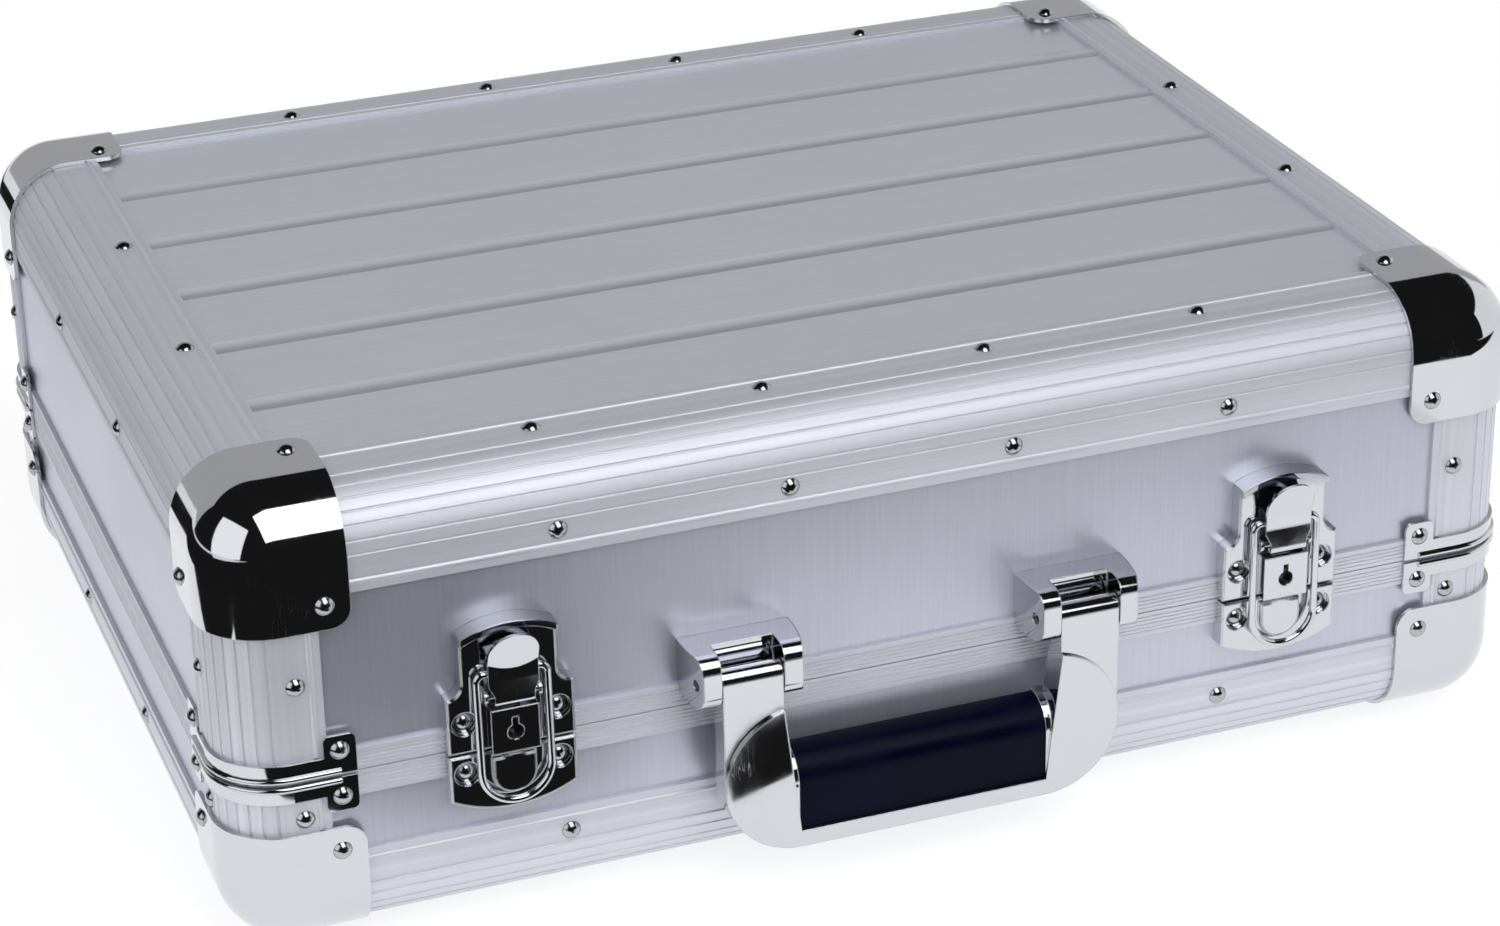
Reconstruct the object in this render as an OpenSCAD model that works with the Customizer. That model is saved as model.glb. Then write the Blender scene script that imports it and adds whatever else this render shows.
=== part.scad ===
// Flight case for a cd player: plywood panels held in rounded aluminium
// extrusions, with ball corners, a hinged lid, two draw latches and a handle.

/* [Case] */
// Width of the case over its side extrusions
case_w = 470; // [400:5:600]
// Depth of the case over its front and back extrusions
case_d = 360; // [300:5:480]
// Height of the base's walls between their edge extrusion and their rim band
base_show_h = 21; // [18:0.2:80]
// Height of the lid's walls between their rim band and their edge extrusion
lid_show_h = 56.4; // [48:0.2:140]
// Gap between base and lid at the split
split_gap = 0.4; // [0.3:0.1:0.8]

/* [Panels] */
// Thickness of the laminated plywood panels
panel_t = 9; // [6:0.5:10]
// Width of a rounded rib on the top panel
panel_rib_w = 10; // [4:0.5:20]
// Height of a rounded rib on the top panel
panel_rib_h = 0.8; // [0.3:0.1:1.2]
// Distance between the ribs of the top panel
panel_rib_pitch = 50; // [30:1:80]

/* [Edge extrusions] */
// Radius of the rounded edge
edge_r = 22; // [20:0.5:24]
// Reach of the outer flanges from the edge of the case
edge_reach = 34.2; // [32:0.2:38]
// Reach of the inner flanges from the edge of the case
edge_inner_reach = 28; // [24:0.5:30]
// Wall of the extrusions
edge_t = 1.5; // [1.2:0.1:2]
// Distance of the flange bead from the edge of the case
bead_inset = 30.6; // [29:0.2:31]
// Radius of the flange bead
bead_r = 1; // [0.8:0.05:1]
// Height of the flange bead above the flange
bead_h = 0.6; // [0.55:0.05:0.8]
// Radius of the fine grooves round the edge
groove_r = 0.45; // [0.3:0.05:0.6]

/* [Closing rims] */
// Height of the ribbed rim band above the split
lid_rim_h = 8.2; // [7:0.2:12]
// Height of the ribbed rim band below the split
base_rim_h = 9; // [7:0.2:12]
// How far the inner rim flanges pass the rim bands
rim_inner_h = 4; // [2:0.5:8]
// Height of the tongue on the base rim
tongue_h = 3; // [2:0.2:4]
// Thickness of the tongue
tongue_t = 2; // [1.5:0.1:3]
// Distance of the tongue from the outer face
tongue_inset = 5.3; // [4.5:0.1:6.5]
// Clearance round the tongue
tongue_gap = 0.5; // [0.3:0.1:0.8]
// Distance between the fine ribs of the rim bands
rim_rib_pitch = 1.4; // [1:0.1:2]
// Depth of the grooves between the ribs
rim_rib_d = 0.35; // [0.2:0.05:0.5]

/* [Ball corners] */
// Size of a ball corner along each edge
ball_size = 45; // [43:0.5:50]
// Sheet thickness of a ball corner
ball_t = 1.5; // [1:0.1:2]
// Radius of the rounded far corner of each lobe
ball_lobe_r = 7; // [4:0.5:10]
// Clearance under the sheet metal fittings
fit_gap = 0.1; // [0.05:0.05:0.2]
// Distance of a ball corner's rivets from both edges of their face
ball_rivet_inset = 36.5; // [35:0.5:38]

/* [Corner braces] */
// Sheet thickness of the braces at the split
brace_t = 1.2; // [1:0.1:1.6]
// Height of the brace band round the corner
brace_band_h = 6.6; // [5:0.2:8]
// Inset of the inner side of a brace tab
brace_tab_in = 32.5; // [32:0.5:34]
// Inset of the outer side of a brace tab
brace_tab_out = 43.5; // [42:0.5:50]
// Height of the lid brace tab
lid_tab_h = 14.2; // [13:0.2:18]
// Height of the base brace tab
base_tab_h = 12.6; // [12:0.2:14]
// Radius of the rounded corners of a tab
brace_tab_r = 2.2; // [1:0.2:3]
// Radius of the curled bead along the split
brace_bead_r = 1.1; // [0.8:0.1:1.3]

/* [Rivets] */
// Diameter of a rivet head
rivet_d = 6.6; // [5:0.2:8]
// Height of a rivet head
rivet_h = 1.9; // [1.2:0.1:2.4]
// Distance of the flange rivets from the edge of the case
rivet_inset = 25.4; // [25.2:0.2:26]
// Distance between the flange rivets along the width
rivet_pitch_w = 80; // [60:1:120]
// Distance between the flange rivets along the depth
rivet_pitch_d = 97; // [70:1:140]
// Gap between the base's corner rivets and its ball corners
post_rivet_gap = 1.5; // [1:0.1:3]

/* [Feet] */
// Height of the feet below the case
foot_h = 8; // [6:0.5:14]
// Diameter of a foot where it meets the floor panel
foot_d = 26; // [20:1:34]
// Diameter of a foot at the ground
foot_tip_d = 22; // [18:1:30]
// Distance of each foot from the sides of the case
foot_inset = 62; // [56:1:90]
// Diameter of the screw recess in a foot
foot_recess_d = 10; // [9:0.5:12]
// Depth of the screw recess from the ground
foot_recess_h = 5; // [3:0.5:6]
// Height of the screw head in the recess
foot_screw_h = 2.2; // [1.5:0.1:3]
// Radius of the foot screws
foot_screw_r = 2; // [1.5:0.1:2.5]
// How far the foot screws reach into the floor panel
foot_screw_in = 7; // [3:0.5:8]

/* [Foam] */
// Thickness of the foam lining
foam_t = 12; // [6:1:20]
// Clearance round the foam
foam_gap = 0.3; // [0.3:0.1:0.6]

/* [Hinges] */
// Distance of each hinge's middle from the side of the case
hinge_inset = 95; // [80:1:140]
// Width of a hinge
hinge_w = 50; // [40:1:70]
// Height of each hinge leaf
hinge_leaf_h = 28; // [24:1:34]
// Thickness of a hinge leaf over the rim
hinge_t = 1.6; // [1.2:0.1:2]
// Distance of the hinge pin behind the back of the case
hinge_off = 4.2; // [4:0.1:5]
// Radius of a hinge knuckle
knuckle_r = 3.6; // [3.2:0.1:3.8]
// Radius of a hinge pin
hinge_pin_r = 1.6; // [1.2:0.1:2]
// Clearance round a knuckle in the other leaf
hinge_room = 0.5; // [0.4:0.1:0.8]

/* [Latches] */
// Distance of each latch's middle from the side of the case
latch_inset = 95; // [80:1:110]
// Width of the latch plates
latch_w = 43.5; // [42:0.5:46]
// Width of the upper part of the lid plate
latch_top_w = 33; // [32:0.5:35]
// Height of the lid plate's arched top above the split
latch_top_h = 47.2; // [46.5:0.2:48]
// Height of the lid plate's shoulders above the split
latch_shoulder_h = 21; // [20:0.5:23]
// Rise of the arched top over its corners
latch_arch_h = 4; // [3:0.2:5]
// Depth of the catch plate below the split
catch_h = 22.6; // [22:0.2:24]
// Rise of the catch plate's curved lower edge
catch_arc_h = 5.6; // [4:0.2:7]
// Height of the pressed plates over the case
latch_depth = 4.5; // [4.2:0.1:4.8]
// Sheet thickness of the pressed plates
latch_t = 1.2; // [1:0.1:1.4]
// Width and depth of the step pressed round the plates and the dome
press_step = 0.5; // [0.3:0.1:0.6]
// Depth of the rivet dimples
dimple_d = 2.2; // [2:0.1:2.4]
// Height of the raised lip along the arched top
arch_lip_h = 2; // [1:0.1:2.2]
// Width of the raised lip along the arched top
arch_lip_w = 2.4; // [2:0.1:3]
// Distance of the plate rivets from the middle of the latch
dimple_x = 15.9; // [15.7:0.1:16]
// Height of the lid plate's rivets above the split
lid_dimple_h = 11.6; // [11:0.2:13]
// Depth of the catch plate's rivets below the split
catch_dimple_h = 7; // [6.8:0.2:8]
// Radius of a rivet dimple
dimple_r = 4.3; // [4.1:0.1:4.4]
// Width of the lock housing
lock_w = 16.6; // [16:0.2:17]
// Height of the lock housing's top above the split
lock_top_h = 17; // [16.6:0.1:17]
// Height of the lock housing over the case
lock_depth = 9; // [8.6:0.1:9.2]
// Height of the keyhole above the split
key_h = 8; // [7.8:0.1:8.4]
// Radius of the keyhole
key_r = 2.75; // [2.4:0.05:2.9]
// Width of the keyhole's slot
key_slot_w = 2; // [1.6:0.1:2.4]
// Reach of the keyhole's slot above its middle
key_slot_h = 5.4; // [4.6:0.2:5.6]
// Height of the lever pin above the split
lever_pin_h = 21.3; // [21.2:0.1:21.5]
// Distance of the lever pin in front of the case
lever_pin_off = 6.2; // [6.1:0.1:6.4]
// Radius of the lever pin
lever_pin_r = 1.25; // [1:0.05:1.3]
// Height of the lever's thumb tab above the lever pin
lever_len = 24.8; // [24:0.2:25]
// Height of the lever's crease above the lever pin
lever_crease_h = 14.5; // [13:0.5:15]
// Radius of the thumb tab's outward curve
lever_curl_r = 22; // [18:1:30]
// Distance of the lever's face in front of the case
lever_off = 9.6; // [9.6:0.1:10]
// Depth of the lever's lower edge below its pin
lever_low = 2; // [1.8:0.1:2.2]
// Thickness of the lever's face
lever_t = 1.2; // [1:0.1:1.2]
// Height of the bail's ends above the lever pin
bail_pivot_h = 8.6; // [8.2:0.1:9]
// Distance of the bail's ends in front of the case
bail_pivot_off = 6.9; // [6.8:0.05:6.95]
// Radius of the bail's wire
bail_wire_r = 1.3; // [1:0.05:1.3]
// Half the width of the bail, to the middle of the wire
bail_half_w = 12; // [11.8:0.1:12.2]
// Depth of the bail's lowest wire below the split, to the middle of the wire
bail_low = 17.7; // [17.3:0.1:18.3]
// Half the width of the dome that the bail goes round
dome_half_w = 7.5; // [7:0.1:8]
// Height of the dome over the case
dome_depth = 6.4; // [6:0.1:6.6]
// Radius of the lock cam's hub
cam_hub_r = 2.6; // [2.2:0.1:2.7]
// Radius of the lock cam's keyed disc
cam_disc_r = 5.4; // [5:0.1:5.6]
// Thickness of the lock cam's lobe
cam_t = 1.6; // [1.2:0.1:1.6]
// Reach of the lock cam's lobe from its axis
cam_reach = 8.6; // [8.2:0.1:8.8]
// Clearance of turning latch pieces
latch_gap = 0.3; // [0.2:0.05:0.3]
// Clearance of a pin that turns in its bore
turn_gap = 0.1; // [0.05:0.01:0.1]
// Clearance of a pin that is held in its bore
hold_gap = 0.05; // [0.03:0.01:0.05]

/* [Handle] */
// Distance between the middles of the two handle brackets
handle_span = 122; // [116:1:130]
// Width of a handle bracket where it meets the case
bracket_w = 39.6; // [38:0.2:42]
// How much a bracket narrows to its front, each side
bracket_taper = 2.3; // [1:0.1:3]
// Height of a handle bracket
bracket_h = 19.1; // [18:0.1:21]
// Height of a bracket's lower edge above the split
bracket_low = 5.8; // [4.8:0.2:6.4]
// Distance of the bracket's front from the case
bracket_depth = 18.6; // [18.4:0.2:19.4]
// Radius of the bracket's rounded front edges
bracket_r = 5.4; // [2:0.2:6]
// Distance of the back of a bracket's pocket from the case
pocket_back = 7.6; // [5:0.1:8.6]
// Width of the handle's arms
arm_w = 21.4; // [20:0.2:22]
// Thickness of the handle's arms
arm_t = 8.6; // [7:0.2:9]
// Height of the handle's pivot above the split
pivot_h = 14.6; // [14.4:0.1:15.4]
// Distance of the handle's pivot in front of the case
pivot_off = 13.9; // [13.6:0.1:14.2]
// Radius of the handle's pins
handle_pin_r = 2; // [1.6:0.1:2.3]
// Length of the handle from its pivot to its lower edge
handle_len = 66.4; // [64:0.2:68]
// Radius of the round lower ends
handle_disc_r = 27; // [25:0.5:28]
// Thickness of the round lower ends
handle_disc_t = 11; // [10:0.2:11.4]
// Step from the arms' front to the round ends' front
handle_step = 1.2; // [0.6:0.1:1.6]
// How much the window between the arms narrows to the grip, each side
window_taper = 5.3; // [4:0.1:7]
// Radius of the rod inside the grip
grip_rod_r = 4.5; // [3:0.1:4.8]
// How far the chrome collars stand out of the grip
collar_lip = 0.8; // [0.4:0.1:1.2]
// Height of the chrome rim under the grip
handle_rim_h = 6; // [4:0.2:7]
// Height of the grip
grip_h = 27.4; // [24:0.2:30]
// Thickness of the grip
grip_t = 12.5; // [11:0.2:13]
// Radius of the grip's rounded front
grip_r = 11; // [9:0.5:11]
// Distance of the grip's back from the case
grip_back = 5; // [4.4:0.2:5.6]

/* [Hidden] */
$fn = 48;
// Overrun of cuts past the faces they open
cut = 1;

// Heights of the split and of the whole case, and places that follow its sizes
split_h = edge_reach + base_show_h + base_rim_h;
lid_h = lid_rim_h + lid_show_h + edge_reach;
case_h = split_h + lid_h;
latch_x = case_w / 2 - latch_inset;
hinge_x = case_w / 2 - hinge_inset;

// How far the handle and the hinges reach past the case, which sets the case
// back in its frame so that the whole footprint is centred on the origin
knuckle_off = arm_t / 2;
arm_front = pivot_off + knuckle_off;
disc_front = arm_front + handle_step;
front_reach = max(bracket_depth, disc_front, grip_back + grip_t);
back_reach = hinge_off + knuckle_r;
case_y = (front_reach - back_reach) / 2;

// Depths and lengths that the panels and extrusions share
panel_stop = edge_r;
panel_in = edge_t + panel_t;
lining = panel_in + edge_t;
wall_w = case_w - 2 * panel_stop;
wall_d = case_d - 2 * panel_stop;
rim_w = case_w - 2 * edge_reach;
rim_d = case_d - 2 * edge_reach;
edge_w = case_w - 2 * (edge_r + edge_t);
web_h = split_gap + tongue_h + tongue_gap;
rib_share = 1 / 3;
groove_angles = [14, 27, 39, 51, 63, 76, 88];
ball_off = fit_gap + ball_t;
brace_off = fit_gap + brace_t;
foam_in = lining + foam_gap;
foam_w = case_w - 2 * foam_in;
foam_d = case_d - 2 * foam_in;
foam_side = foam_t + foam_gap;
foam_rim_gap = 3 * split_gap;
panel_rib_r = (pow(panel_rib_w / 2, 2) + pow(panel_rib_h, 2)) / (2 * panel_rib_h);
tab_top_h = 2 * split_gap + lid_tab_h;
lid_post_rivet = (tab_top_h + lid_h - ball_size) / 2;
base_post_rivet = split_h - ball_size - post_rivet_gap - rivet_d / 2;

// Latch places: heights from the split, distances from the front of the case
plate_low = split_gap + latch_gap;
plate_back = latch_depth - latch_t;
arch_r = (pow(latch_top_w / 2, 2) + pow(latch_arch_h, 2)) / (2 * latch_arch_h);
catch_arc_r = (pow(latch_w / 2, 2) + pow(catch_arc_h, 2)) / (2 * catch_arc_h);
shoulder_r = (latch_w - latch_top_w) / 2;
dimple_floor = latch_depth - dimple_d;
neck_half = lock_w / 2 - latch_t - latch_gap;
tab_half = neck_half + 3 * latch_t / 2;
flange_out = neck_half - fit_gap;
flange_in = flange_out - latch_t;
window_half = lock_w / 2 + latch_gap;
ear_out = window_half + latch_t;
ear_r = lever_pin_r + latch_t;
eye_r = bail_wire_r + latch_t;
lever_in = lever_off - lever_t;
lever_top_h = lever_pin_h + lever_len;
crease_h = lever_pin_h + lever_crease_h;
bail_pivot_z = lever_pin_h + bail_pivot_h;
window_low = lock_top_h + latch_gap;
window_top = bail_pivot_z + eye_r + latch_gap;
cam_back = latch_t - latch_gap;
cam_front = cam_back + cam_t;
tongue_back = cam_front + latch_gap;
tongue_front = lever_pin_off - lever_pin_r - latch_gap;
lock_inner_top = lock_top_h - latch_t;
tongue_low = key_h + cam_reach - cam_t;
tongue_half = neck_half / 2;
cam_half = cam_hub_r - latch_gap;
dome_low = bail_low - bail_wire_r - latch_gap - dome_half_w;
dome_top = plate_low + latch_t + latch_gap;
bail_drop = bail_pivot_z + bail_low;
bail_bend_r = 2 * bail_wire_r;
bail_tilt = asin((dome_depth + latch_gap + bail_wire_r - bail_pivot_off) / bail_drop);

// Handle places: heights from the split
arm_in = handle_span / 2 - arm_w / 2;
arm_out = handle_span / 2 + arm_w / 2;
arm_back = arm_front - arm_t;
disc_back = disc_front - handle_disc_t;
handle_low = pivot_h - handle_len;
disc_z = handle_low + handle_disc_r;
disc_x = arm_out - handle_disc_r;
rim_top = handle_low + handle_rim_h;
window_bottom_half = arm_in - window_taper;
grip_low = rim_top + fit_gap;
grip_half = window_bottom_half + fit_gap;
rod_z = grip_low + grip_h / 2;
bracket_top = bracket_low + bracket_h;
slot_half = arm_w / 2 + latch_gap;
bulge_r = (pow(bracket_depth, 2) + pow(bracket_taper, 2)) / (2 * bracket_taper);
pin_half = bracket_w / 2 - bracket_taper;
rod_off = grip_back + grip_t / 2;

// Colours of the finishes
skin_tone = [0.64, 0.64, 0.68];
extrusion_tone = [0.74, 0.74, 0.78];
chrome_tone = [0.86, 0.87, 0.9];
rubber_tone = [0.08, 0.08, 0.12];
foam_tone = [0.2, 0.2, 0.22];

// Placing: the case stands on its feet, and its footprint is centred

module on_case() {
  translate([0, case_y, foot_h]) children();
}

module both_x() {
  children();
  mirror([1, 0, 0]) children();
}

module both_y() {
  children();
  mirror([0, 1, 0]) children();
}

// The piece and its mirror image across the diagonal of a corner
module both_sides() {
  children();
  mirror([1, -1, 0]) children();
}

// Draws an outline of inset and height along the width, centred
module along_x(len) {
  translate([-len / 2, 0, 0]) rotate([90, 0, 90]) linear_extrude(len) children();
}

// Draws an outline of inset and height along the depth, centred
module along_y(len) {
  translate([0, len / 2, 0]) rotate([90, 0, 0]) linear_extrude(len) children();
}

// Draws an outline of width and height over the split, between two distances
// in front of the case
module on_front(from, to) {
  translate([0, -case_d / 2 - from, split_h])
    rotate([90, 0, 0])
      linear_extrude(to - from) children();
}

// Draws an outline of distance in front of the case and height over the split,
// between two places along the width
module sideways(from, to) {
  translate([from, -case_d / 2, split_h])
    rotate([90, 0, 90])
      linear_extrude(to - from) mirror([1, 0]) children();
}

module rect(x0, x1, z0, z1) {
  translate([x0, z0]) square([x1 - x0, z1 - z0]);
}

module dot(x, z, r) {
  translate([x, z]) circle(r);
}

// A square whose corner at the origin is rounded
module rounded_square(size, r) {
  rect(r, size, 0, size);
  rect(0, size, r, size);
  intersection() {
    dot(r, r, r);
    square(r);
  }
}

// Edge extrusion: a rounded outer angle with fine grooves, an inner angle and
// two webs, which leave a slot for a panel's end on each side

module edge_profile() {
  difference() {
    rounded_square(edge_reach, edge_r);
    translate([edge_t, edge_t]) rounded_square(edge_reach, edge_r - edge_t);
    for (a = groove_angles) {
      dot(edge_r * (1 - sin(a)), edge_r * (1 - cos(a)), groove_r);
    }
  }
  difference() {
    rect(panel_in, edge_inner_reach, panel_in, edge_inner_reach);
    rect(lining, edge_reach, lining, edge_reach);
  }
  rect(edge_t / 2, panel_in + edge_t / 2, panel_stop - edge_t, panel_stop);
  rect(panel_stop - edge_t, panel_stop, edge_t / 2, panel_in + edge_t / 2);
}

// The beads that run along the two outer flanges between the fittings
module bead_profile() {
  dot(bead_inset, bead_r - bead_h, bead_r);
  dot(bead_r - bead_h, bead_inset, bead_r);
}

module long_edges() {
  both_y() translate([0, -case_d / 2, 0]) {
    along_x(edge_w) edge_profile();
    along_x(case_w - 2 * (ball_size + fit_gap)) bead_profile();
  }
}

module short_edges() {
  both_x() translate([-case_w / 2, 0, 0]) {
    along_y(rim_d) edge_profile();
    along_y(case_d - 2 * (ball_size + fit_gap)) bead_profile();
  }
}

module corner_posts(height, bead_from, bead_to) {
  both_x() both_y() translate([-case_w / 2, -case_d / 2, 0]) {
    linear_extrude(height) edge_profile();
    translate([0, 0, bead_from]) linear_extrude(bead_to - bead_from) bead_profile();
  }
}

// Turns a lid fitting drawn upwards from the case's bottom to hang from its top
module from_top() {
  translate([0, 0, case_h]) mirror([0, 0, 1]) children();
}

module base_long_edges() {
  color(extrusion_tone) on_case() long_edges();
}

module base_short_edges() {
  color(extrusion_tone) on_case() short_edges();
}

module lid_long_edges() {
  color(extrusion_tone) on_case() from_top() long_edges();
}

module lid_short_edges() {
  color(extrusion_tone) on_case() from_top() short_edges();
}

module base_corner_posts() {
  height = split_h - edge_reach;
  band = brace_band_h + 2 * split_gap;
  color(extrusion_tone) on_case() translate([0, 0, edge_reach])
    corner_posts(height, ball_size - edge_reach + fit_gap, height - band);
}

module lid_corner_posts() {
  height = case_h - edge_reach - split_h - split_gap;
  band = brace_band_h + 2 * split_gap;
  color(extrusion_tone) on_case() from_top() translate([0, 0, edge_reach])
    corner_posts(height, ball_size - edge_reach + fit_gap, height - band);
}

// Closing rims: a ribbed band outside, a slot for the panels, and a tongue on
// the base that stands inside the lip of the lid

module rim_grooves(height) {
  for (i = [1 : floor(height / rim_rib_pitch) - 1]) {
    rect(-cut, rim_rib_d, i * rim_rib_pitch, (i + rib_share) * rim_rib_pitch);
  }
}

module base_rim_profile() {
  difference() {
    rect(0, edge_t, 0, base_rim_h);
    rim_grooves(base_rim_h);
  }
  rect(edge_t / 2, lining, 0, edge_t);
  rect(panel_in, lining, 0, base_rim_h + rim_inner_h);
  rect(tongue_inset, tongue_inset + tongue_t, -tongue_h, edge_t);
}

module lid_rim_profile() {
  difference() {
    rect(0, tongue_inset - tongue_gap, split_gap, web_h + edge_t);
    translate([0, split_gap]) rim_grooves(lid_rim_h - split_gap);
  }
  difference() {
    rect(0, edge_t, web_h, lid_rim_h);
    translate([0, split_gap]) rim_grooves(lid_rim_h - split_gap);
  }
  rect(edge_t, lining, web_h, web_h + edge_t);
  rect(panel_in, lining, web_h, lid_rim_h + rim_inner_h);
}

module base_rim() {
  color(extrusion_tone) on_case() translate([0, 0, split_h]) mirror([0, 0, 1]) {
    both_y() translate([0, -case_d / 2, 0]) along_x(rim_w) base_rim_profile();
    both_x() translate([-case_w / 2, 0, 0]) along_y(rim_d) base_rim_profile();
  }
}

module lid_rim() {
  color(extrusion_tone) on_case() translate([0, 0, split_h]) {
    both_y() translate([0, -case_d / 2, 0]) along_x(rim_w) lid_rim_profile();
    both_x() translate([-case_w / 2, 0, 0]) along_y(rim_d) lid_rim_profile();
  }
}

// Panels

base_wall_h = split_h - edge_t - panel_stop;
lid_wall_low = split_h + web_h + edge_t;
lid_wall_h = case_h - panel_stop - lid_wall_low;

module front_wall(low, height) {
  translate([-wall_w / 2, -case_d / 2 + edge_t, low]) cube([wall_w, panel_t, height]);
}

module side_walls(low, height) {
  both_x() translate([-case_w / 2 + edge_t, -wall_d / 2, low]) cube([panel_t, wall_d, height]);
}

// The flat panel of floor and lid, drawn upwards from the case's bottom
module flat_panel() {
  translate([-wall_w / 2, -wall_d / 2, edge_t]) cube([wall_w, wall_d, panel_t]);
}

module at_feet() {
  both_x() both_y()
    translate([-case_w / 2 + foot_inset, -case_d / 2 + foot_inset, -foot_h]) children();
}

module base_floor_panel() {
  color(skin_tone) on_case() difference() {
    flat_panel();
    at_feet() cylinder(r = foot_screw_r + hold_gap, h = foot_h + edge_t + foot_screw_in);
  }
}

module base_front_panel() {
  color(skin_tone) on_case() front_wall(panel_stop, base_wall_h);
}

module base_back_panel() {
  color(skin_tone) on_case() mirror([0, 1, 0]) front_wall(panel_stop, base_wall_h);
}

module base_side_panels() {
  color(skin_tone) on_case() side_walls(panel_stop, base_wall_h);
}

module lid_front_panel() {
  color(skin_tone) on_case() front_wall(lid_wall_low, lid_wall_h);
}

module lid_back_panel() {
  color(skin_tone) on_case() mirror([0, 1, 0]) front_wall(lid_wall_low, lid_wall_h);
}

module lid_side_panels() {
  color(skin_tone) on_case() side_walls(lid_wall_low, lid_wall_h);
}

// A rounded rib on the top panel, drawn across its place along the depth
module panel_rib(y) {
  intersection() {
    dot(y, edge_t - panel_rib_h + panel_rib_r, panel_rib_r);
    rect(y - panel_rib_w / 2, y + panel_rib_w / 2, 0, panel_in);
  }
}

module lid_top_panel() {
  ribs = floor((rim_d / 2 - panel_rib_w / 2) / panel_rib_pitch);
  color(skin_tone) on_case() from_top() {
    flat_panel();
    for (i = [-ribs : ribs]) {
      along_x(rim_w) panel_rib(i * panel_rib_pitch);
    }
  }
}

// Ball corners, drawn for the corner at the origin that points along all axes

module corner_ring(inner) {
  intersection() {
    difference() {
      circle(inner + ball_t);
      circle(inner);
    }
    square(inner + 2 * ball_t);
  }
}

module lobe(size) {
  translate([-ball_size, -ball_size, fit_gap]) linear_extrude(ball_t) difference() {
    square(size);
    difference() {
      translate([-cut, -cut]) square(ball_lobe_r + cut);
      dot(ball_lobe_r, ball_lobe_r, ball_lobe_r);
    }
  }
}

module ball_corner() {
  flat = ball_size - edge_r;
  inner = edge_r + fit_gap;
  translate([-edge_r, -edge_r, -edge_r]) {
    rotate_extrude(angle = 90) corner_ring(inner);
    translate([0, 0, -flat]) linear_extrude(flat) corner_ring(inner);
    rotate([90, 0, 0]) linear_extrude(flat) corner_ring(inner);
    translate([-flat, 0, 0]) rotate([90, 0, 90]) linear_extrude(flat) corner_ring(inner);
  }
  lobe(flat);
  rotate([90, 0, 90]) lobe(flat);
  mirror([0, 1, -1]) lobe(flat);
}

module place_ball_corner(side, end, top) {
  on_case()
    mirror([side, 0, 0]) mirror([0, end, 0])
      translate([case_w / 2, case_d / 2, top * case_h])
        mirror([0, 0, 1 - top]) ball_corner();
}

module base_ball_corner_front_left() {
  color(chrome_tone) place_ball_corner(1, 1, 0);
}

module base_ball_corner_front_right() {
  color(chrome_tone) place_ball_corner(0, 1, 0);
}

module base_ball_corner_back_left() {
  color(chrome_tone) place_ball_corner(1, 0, 0);
}

module base_ball_corner_back_right() {
  color(chrome_tone) place_ball_corner(0, 0, 0);
}

module lid_ball_corner_front_left() {
  color(chrome_tone) place_ball_corner(1, 1, 1);
}

module lid_ball_corner_front_right() {
  color(chrome_tone) place_ball_corner(0, 1, 1);
}

module lid_ball_corner_back_left() {
  color(chrome_tone) place_ball_corner(1, 0, 1);
}

module lid_ball_corner_back_right() {
  color(chrome_tone) place_ball_corner(0, 0, 1);
}

// Corner braces: a chrome band round the corner at the split, with a bead and
// a riveted tab on each side, drawn upwards from the split

module brace_outline(low, tab_h) {
  rect(-brace_tab_out, -edge_r, low, low + brace_band_h);
  rect(-brace_tab_out, -brace_tab_in, low, low + tab_h - brace_tab_r);
  rect(-brace_tab_out + brace_tab_r, -brace_tab_in - brace_tab_r, low, low + tab_h);
  dot(-brace_tab_out + brace_tab_r, low + tab_h - brace_tab_r, brace_tab_r);
  dot(-brace_tab_in - brace_tab_r, low + tab_h - brace_tab_r, brace_tab_r);
}

module brace(low, tab_h) {
  bead_z = low + brace_bead_r;
  bead_end = (brace_tab_in + brace_tab_out) / 2;
  translate([-edge_r, -edge_r, 0]) {
    translate([0, 0, low]) rotate_extrude(angle = 90)
      rect(edge_r + fit_gap, edge_r + brace_off, 0, brace_band_h);
    translate([0, 0, bead_z]) rotate_extrude(angle = 90)
      dot(edge_r + brace_off, 0, brace_bead_r);
  }
  both_sides() {
    translate([0, brace_off, 0]) rotate([90, 0, 0])
      linear_extrude(brace_t) brace_outline(low, tab_h);
    translate([-bead_end, brace_off, bead_z]) rotate([0, 90, 0])
      cylinder(r = brace_bead_r, h = bead_end - edge_r);
  }
}

module at_split_corners() {
  both_x() both_y() translate([case_w / 2, case_d / 2, split_h]) children();
}

module lid_corner_braces() {
  color(chrome_tone) on_case() at_split_corners() brace(2 * split_gap, lid_tab_h);
}

module base_corner_braces() {
  color(chrome_tone) on_case() at_split_corners() mirror([0, 0, 1]) brace(split_gap, base_tab_h);
}

// Rivets: domed heads on every riveted face

module rivet() {
  r = (pow(rivet_d / 2, 2) + pow(rivet_h, 2)) / (2 * rivet_h);
  rotate_extrude() intersection() {
    dot(0, rivet_h - r, r);
    rect(0, rivet_d, 0, 2 * rivet_h);
  }
}

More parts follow.
